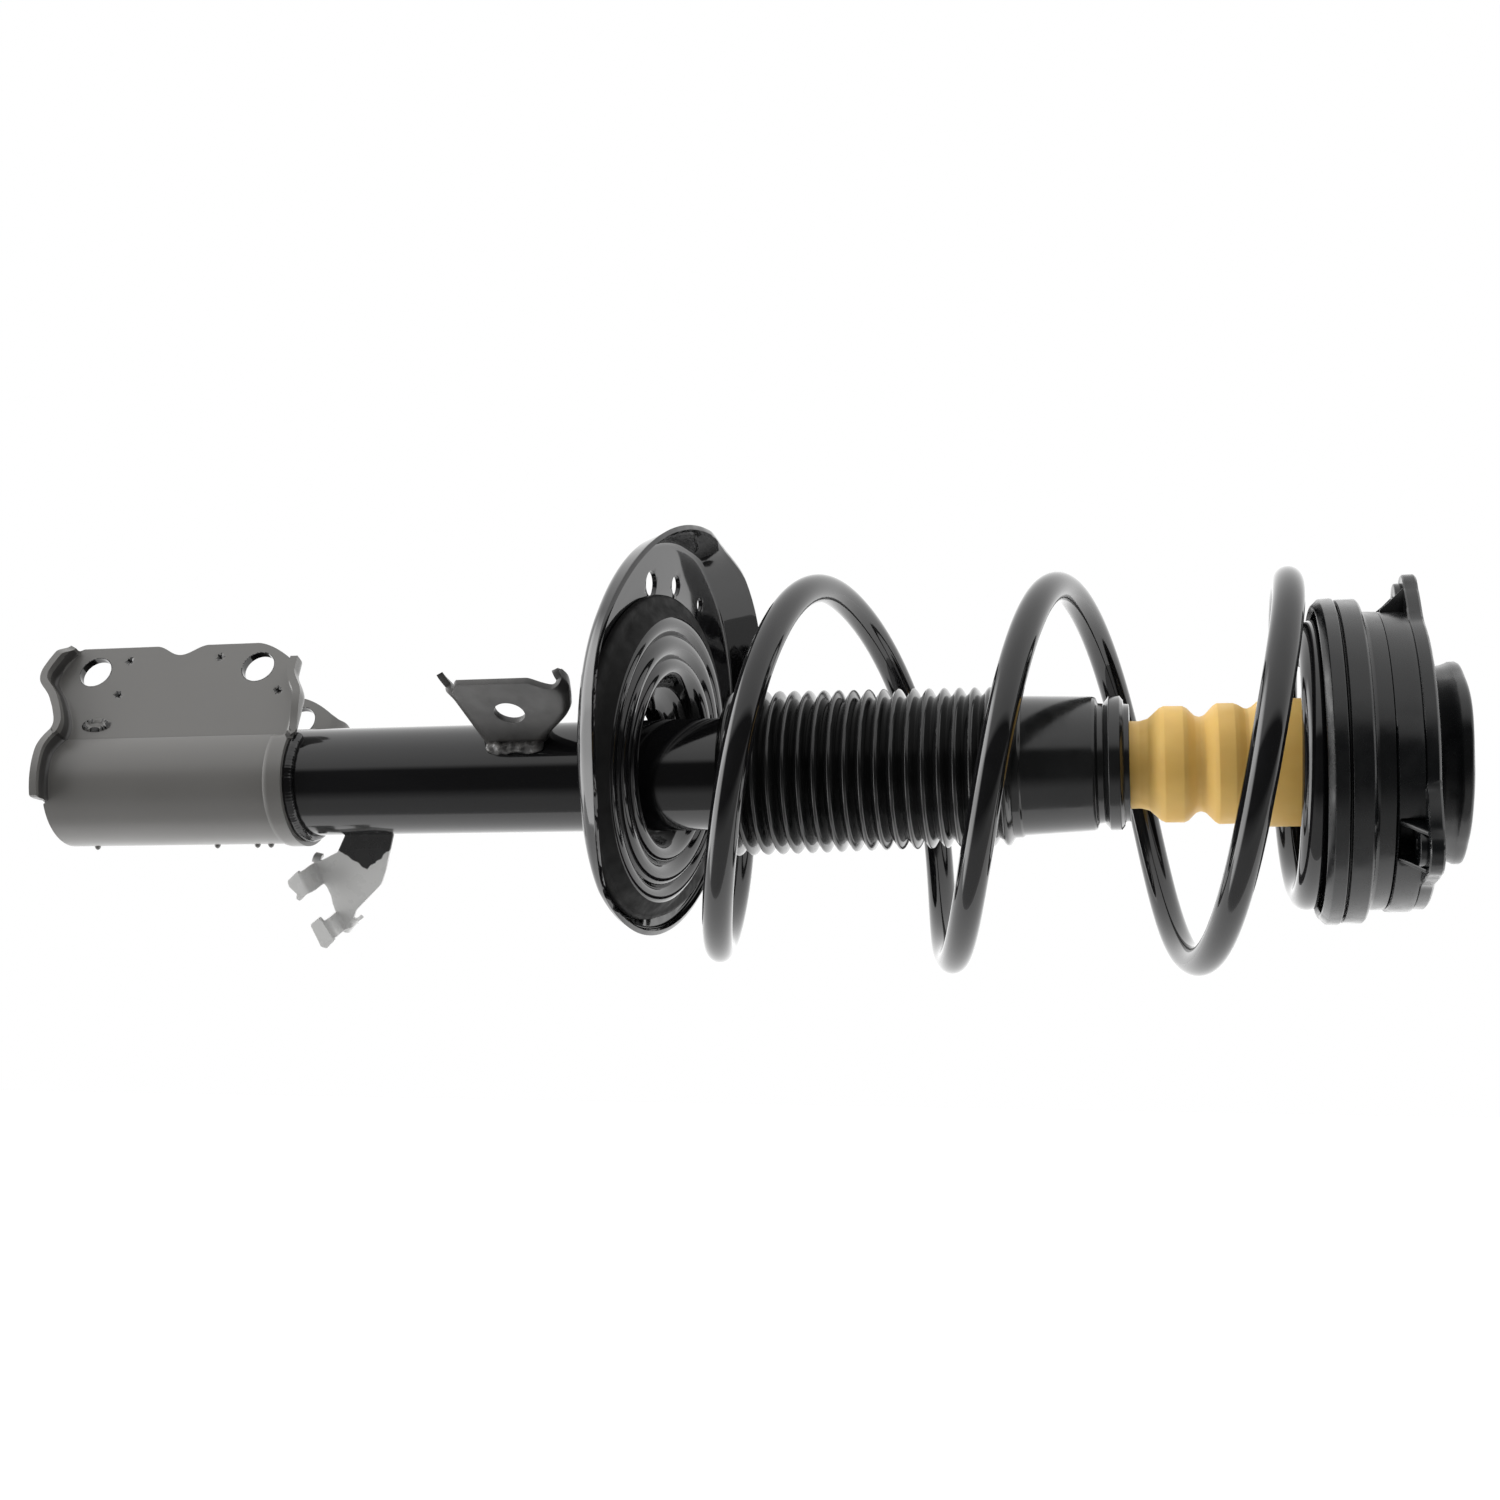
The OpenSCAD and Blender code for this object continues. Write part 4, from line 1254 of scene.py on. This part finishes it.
LOBE_PCD_R = 66.0
LOBE_R = 12.0
LOBE_AZIMUTHS = [PHOTO_UP + 120 * k for k in range(3)]
DRUM_R = 62.6
DRUM_SWELL = 1.1  # the drum is a little out of round, behind
POCKET_DEPTH, POCKET_HALF = 7.5, 8.6  # the drum's pocket behind each lobe, between its two gussets
INSERT_R, KNURL = 7.4, 0.12
THREAD_R, THREAD_DEPTH, THREAD_TURNS = 4.3, 0.35, 5
GUSSET = ((60.5, -15.4), (63.0, -15.4), (65.4, -12.4), (71.5, -6.2), (71.5, -4.8), (60.5, -4.8))
LIP_R, LIP_CORNER_R = 40.8, 44.0


def flange_radius(azimuth):
    """The flange is a rounded triangle whose corners are the three mounting lobes."""
    best = DRUM_R
    for lobe in LOBE_AZIMUTHS:
        d = math.radians(turn(azimuth, lobe))
        s = LOBE_PCD_R * math.sin(d)
        if abs(s) < LOBE_R and math.cos(d) > 0:
            best = max(best, LOBE_PCD_R * math.cos(d) + math.sqrt(LOBE_R ** 2 - s * s))
        # a web of material runs from each lobe into the round flange
        spread = abs(math.degrees(d))
        best = max(best, lerp(76.0, DRUM_R, smooth(spread / 26)))
    return best


def build_mount_housing():
    """A drum that is pocketed behind each lobe, the flange and the neck that holds the hub cap."""
    steps = 240
    rows = [(32.4, -16.2, 0), (62.0, -16.4, 0), (62.5, -15.6, 0), (62.5, -14.9, 0), (62.6, -14.0, 0),
            (62.6, -8.0, 0), (62.4, -6.2, 0),
            ("edge", -5.9, -0.8), ("edge", -5.3, -0.1), ("edge", -1.0, 0), ("edge", -0.1, -0.9),
            (61.4, 0.0, 0), (59.8, 0.5, 0), (57.6, 0.8, 0), (50.0, 1.2, 0), (41.6, 1.6, 0), (38.0, 2.0, 0),
            (37.2, 3.0, 0), (37.2, 7.6, 0), (34.0, 7.8, 0), (32.4, 6.8, 0)]
    verts = []
    for i in range(steps):
        az = 360 * i / steps
        edge = flange_radius(az)
        sector = (az - PHOTO_UP) % 120
        pocket = POCKET_DEPTH * smooth((POCKET_HALF - min(sector, 120 - sector)) / 1.4)
        swell = DRUM_SWELL * smooth((math.cos(math.radians(az - PHOTO_UP - 150)) - 0.2) / 0.3)
        for r, z, inset in rows:
            radius = edge + inset if r == "edge" else r
            if r != "edge" and -16 < z < -6:
                radius += swell - pocket * smooth((z + 15.4) / 1.2)
            verts.append((*polar(radius, az), z))
    obj = make("mount_housing_moulding", verts, quads(steps, len(rows)), "mount_and_rod",
               PLASTIC, ["mount_housing"])
    lobes = [polar(LOBE_PCD_R, azimuth) for azimuth in LOBE_AZIMUTHS]
    drilled(obj, [cutter(INSERT_R, (x, y, -12), (x, y, 6)) for x, y in lobes])
    bevelled(obj, 0.5, 2, 45)
    apply_modifiers(obj)


def build_mount_ribs():
    """Gussets under the lobes, and the boss each insert is moulded into."""
    shells = []
    bottom = low("mount_inserts", 2)
    boss = [(3.0, bottom - 1.0), (7.9, bottom - 1.0), (8.3, bottom - 0.6), (8.3, -5.0), (7.5, -5.0),
            (7.5, bottom - 0.2), (3.0, bottom - 0.2)]
    sides = 48
    for azimuth in LOBE_AZIMUTHS:
        out = Vector((*polar(1, azimuth), 0))
        side = Vector((-out.y, out.x, 0))
        for offset in (-POCKET_HALF, POCKET_HALF):
            shells.append(prism(GUSSET, lambda u, v, w, o=out, s=side: o * u + s * w + Vector((0, 0, v)),
                                offset - 0.9, offset + 0.9))
        centre = out * LOBE_PCD_R
        rings = [centre + Vector((*polar(r, 360 * i / sides), z)) for i in range(sides) for r, z in boss]
        shells.append((rings, quads(sides, len(boss))))
    verts, faces = join_shells(shells)
    obj = make("mount_housing_ribs", verts, faces, "mount_and_rod", PLASTIC)
    bevelled(obj, 0.25, 2, 40)
    apply_modifiers(obj)


def build_inserts():
    """Knurled inserts with a threaded bore."""
    shells = []
    low_z, high_z = low("mount_inserts", 2), high("mount_inserts", 2)
    sides = 72
    profile = [(4.9, low_z + 0.1), (7.2, low_z + 0.1), (INSERT_R, low_z + 0.5), (INSERT_R, high_z - 0.5),
               (7.2, high_z - 0.05), (5.0, high_z - 0.05), (4.5, high_z - 0.6)]
    for t in range(THREAD_TURNS * 4 + 1):
        z = lerp(high_z - 0.9, low_z + 0.9, t / (THREAD_TURNS * 4))
        profile.append((THREAD_R + (THREAD_DEPTH if t % 4 in (1, 2) else 0.0), z))
    for azimuth in LOBE_AZIMUTHS:
        cx, cy = polar(LOBE_PCD_R, azimuth)
        verts = []
        for i in range(sides):
            knurl = KNURL if i % 2 else 0.0
            for r, z in profile:
                dx, dy = polar(r - knurl if r == INSERT_R else r, 360 * i / sides)
                verts.append((cx + dx, cy + dy, z))
        shells.append((verts, quads(sides, len(profile))))
    verts, faces = join_shells(shells)
    make("threaded_inserts", verts, faces, "mount_and_rod", ZINC, ["mount_inserts"], 30)


def build_hub_cap():
    """Covers the rod nut: a cone round the housing's neck with a three-cornered lip, hollow on top."""
    steps = 216

    def lip(azimuth):
        off_corner = min(abs(turn(azimuth, lobe + 60)) for lobe in LOBE_AZIMUTHS)
        return lerp(LIP_CORNER_R, LIP_R, smooth(off_corner / 34))

    rows = [(16.2, 1.2, 0), (31.6, 1.2, 0), (31.6, 7.9, 0), (37.4, 7.9, 0), (37.5, 2.8, 0), (38.0, 2.4, 0),
            (38.4, 3.0, 0), (38.9, 5.4, 0),
            ("lip", 8.6, -1.4), ("lip", 10.9, -0.6), ("lip", 11.8, -0.1), ("lip", 14.2, 0),
            ("lip", 15.2, -0.5), ("lip", 15.8, -1.7), ("lip", 16.1, -3.4), (35.2, 16.3, 0), (33.4, 16.9, 0),
            (31.0, 17.0, 0), (28.6, 16.6, 0), (26.0, 15.0, 0), (22.0, 14.4, 0), (19.4, 14.9, 0),
            (17.8, 15.5, 0), (16.4, 15.0, 0)]
    verts = []
    for i in range(steps):
        az = 360 * i / steps
        for r, z, inset in rows:
            verts.append((*polar(lip(az) + inset if r == "lip" else r, az), z))
    make("hub_cap_cover", verts, quads(steps, len(rows)), "mount_and_rod", PLASTIC,
         ["hub_cap"], 40)


# ---- studio

CAMERA_AT = Vector((-410.7, 707.4, -110.5)) * MM
CAMERA_AIM = Vector((40.8, -47.6, -300.5)) * MM
CAMERA_ROLL = math.radians(1.326)
CAMERA_LENS = 44.37


def camera_axes():
    """The picture's right and up directions, and the way back to the photographer."""
    forward = (CAMERA_AIM - CAMERA_AT).normalized()
    right = Vector((0, 0, 1))
    right = (right - forward * right.dot(forward)).normalized()
    right.rotate(Matrix.Rotation(CAMERA_ROLL, 3, forward))
    return right, right.cross(forward), -forward


def build_camera():
    right, up, back = camera_axes()
    data = bpy.data.cameras.new("camera")
    data.lens = CAMERA_LENS
    data.sensor_width = 36
    data.clip_start, data.clip_end = 0.01, 100
    cam = linked("camera", data)
    m = Matrix((right, up, back)).transposed().to_4x4()
    m.translation = CAMERA_AT
    cam.matrix_world = m
    bpy.context.scene.camera = cam


def image_axes():
    """Towards the photographer, upward in the picture, and along the strut to the picture's left."""
    return (Vector((*polar(1, PHOTO_UP + 90), 0)), Vector((*polar(1, PHOTO_UP), 0)), Vector((0, 0, -1)))


def build_floor():
    """A wide pale floor well below the object in the picture; it ends just in front of the object."""
    toward, up, left = image_axes()
    half_width, front, back, depth = 4.5, 0.3, 6.0, 1.3
    centre = Vector((0, 0, -0.3)) - up * depth
    places = ((-half_width, front), (half_width, front), (half_width, -back), (-half_width, -back))
    corners = [centre + left * across + toward * out for across, out in places]
    mesh = bpy.data.meshes.new("floor")
    mesh.from_pydata(corners, [], [[0, 1, 2, 3]])
    floor = linked("floor", mesh)
    m = bpy.data.materials.new("pale_floor")
    m.use_nodes = True
    fill(shader_of(m), {"Base Color": (0.85, 0.85, 0.85, 1), "Roughness": 0.9,
                        "Emission Color": (1, 1, 1, 1), "Emission Strength": 0.4})
    mesh.materials.append(m)


LAMP_LEVEL = 4.5
LAMP_EDGE = (0.72, 0.88)  # cosine of the angle from the left end over which the lamp comes up
LAMP_BACK = (-0.4, -0.1)  # the same from the photographer's direction
# angle round the strut, with the photographer at 0 and above at 90, and the studio's brightness there
STUDIO_LEVELS = ((-180, 1.5), (-142, 1.7), (-118, 1.1), (-100, 1.2), (-86, 1.1), (-74, 0.62), (-40, 0.6),
                 (-20, 0.08), (23, 0.07), (32, 1.0), (50, 1.2), (90, 1.45), (130, 1.4), (180, 1.5))


def build_world():
    """A bright studio, with a dark band where the photographer stands and a lamp at the left end."""
    world = bpy.data.worlds.new("studio")
    bpy.context.scene.world = world
    world.use_nodes = True
    tree = world.node_tree
    nodes, links = tree.nodes, tree.links
    background = nodes["Background"]
    coords = nodes.new("ShaderNodeTexCoord")
    toward, up, left = image_axes()

    def along(axis):
        node = nodes.new("ShaderNodeVectorMath")
        node.operation = "DOT_PRODUCT"
        node.inputs[1].default_value = axis
        links.new(coords.outputs["Generated"], node.inputs[0])
        return node.outputs["Value"]

    angle = arithmetic(world, "ARCTAN2", along(up), along(toward))
    share = remap(world, angle, -math.pi, math.pi, 0.0, 1.0)
    ramp = nodes.new("ShaderNodeValToRGB")
    elements = ramp.color_ramp.elements
    while len(elements) < len(STUDIO_LEVELS):
        elements.new(0.5)
    for element, (degrees, level) in zip(elements, STUDIO_LEVELS):
        element.position = (degrees + 180) / 360
        element.color = (level, level, level, 1)
    links.new(share, ramp.inputs["Fac"])

    at_end = remap(world, along(left), *LAMP_EDGE, 0.0, LAMP_LEVEL, "SMOOTHSTEP")
    in_front = remap(world, along(toward), *LAMP_BACK, 0.0, 1.0, "SMOOTHSTEP")
    level = arithmetic(world, "ADD", ramp.outputs["Color"], arithmetic(world, "MULTIPLY", at_end, in_front))
    path = nodes.new("ShaderNodeLightPath")
    mix = nodes.new("ShaderNodeMix")
    mix.data_type = "FLOAT"
    mix.inputs[3].default_value = 1.0
    links.new(path.outputs["Is Camera Ray"], mix.inputs[0])
    links.new(level, mix.inputs[2])
    links.new(mix.outputs[0], background.inputs["Color"])
    background.inputs["Strength"].default_value = 1.0


# ---- the whole object

dress_cad_nodes()
build_damper_tube()
build_knuckle_bracket()
build_bracket_nubs()
build_knuckle_weld()
build_link_bracket()
build_link_weld()
build_clip()
build_seat()
build_seat_weld()
build_lower_pad()
build_spring()
build_boot()
build_collar()
build_bump_stop()
build_bearing()
build_mount_housing()
build_mount_ribs()
build_inserts()
build_hub_cap()
build_camera()
build_floor()
build_world()
bpy.context.scene.view_settings.view_transform = "Standard"
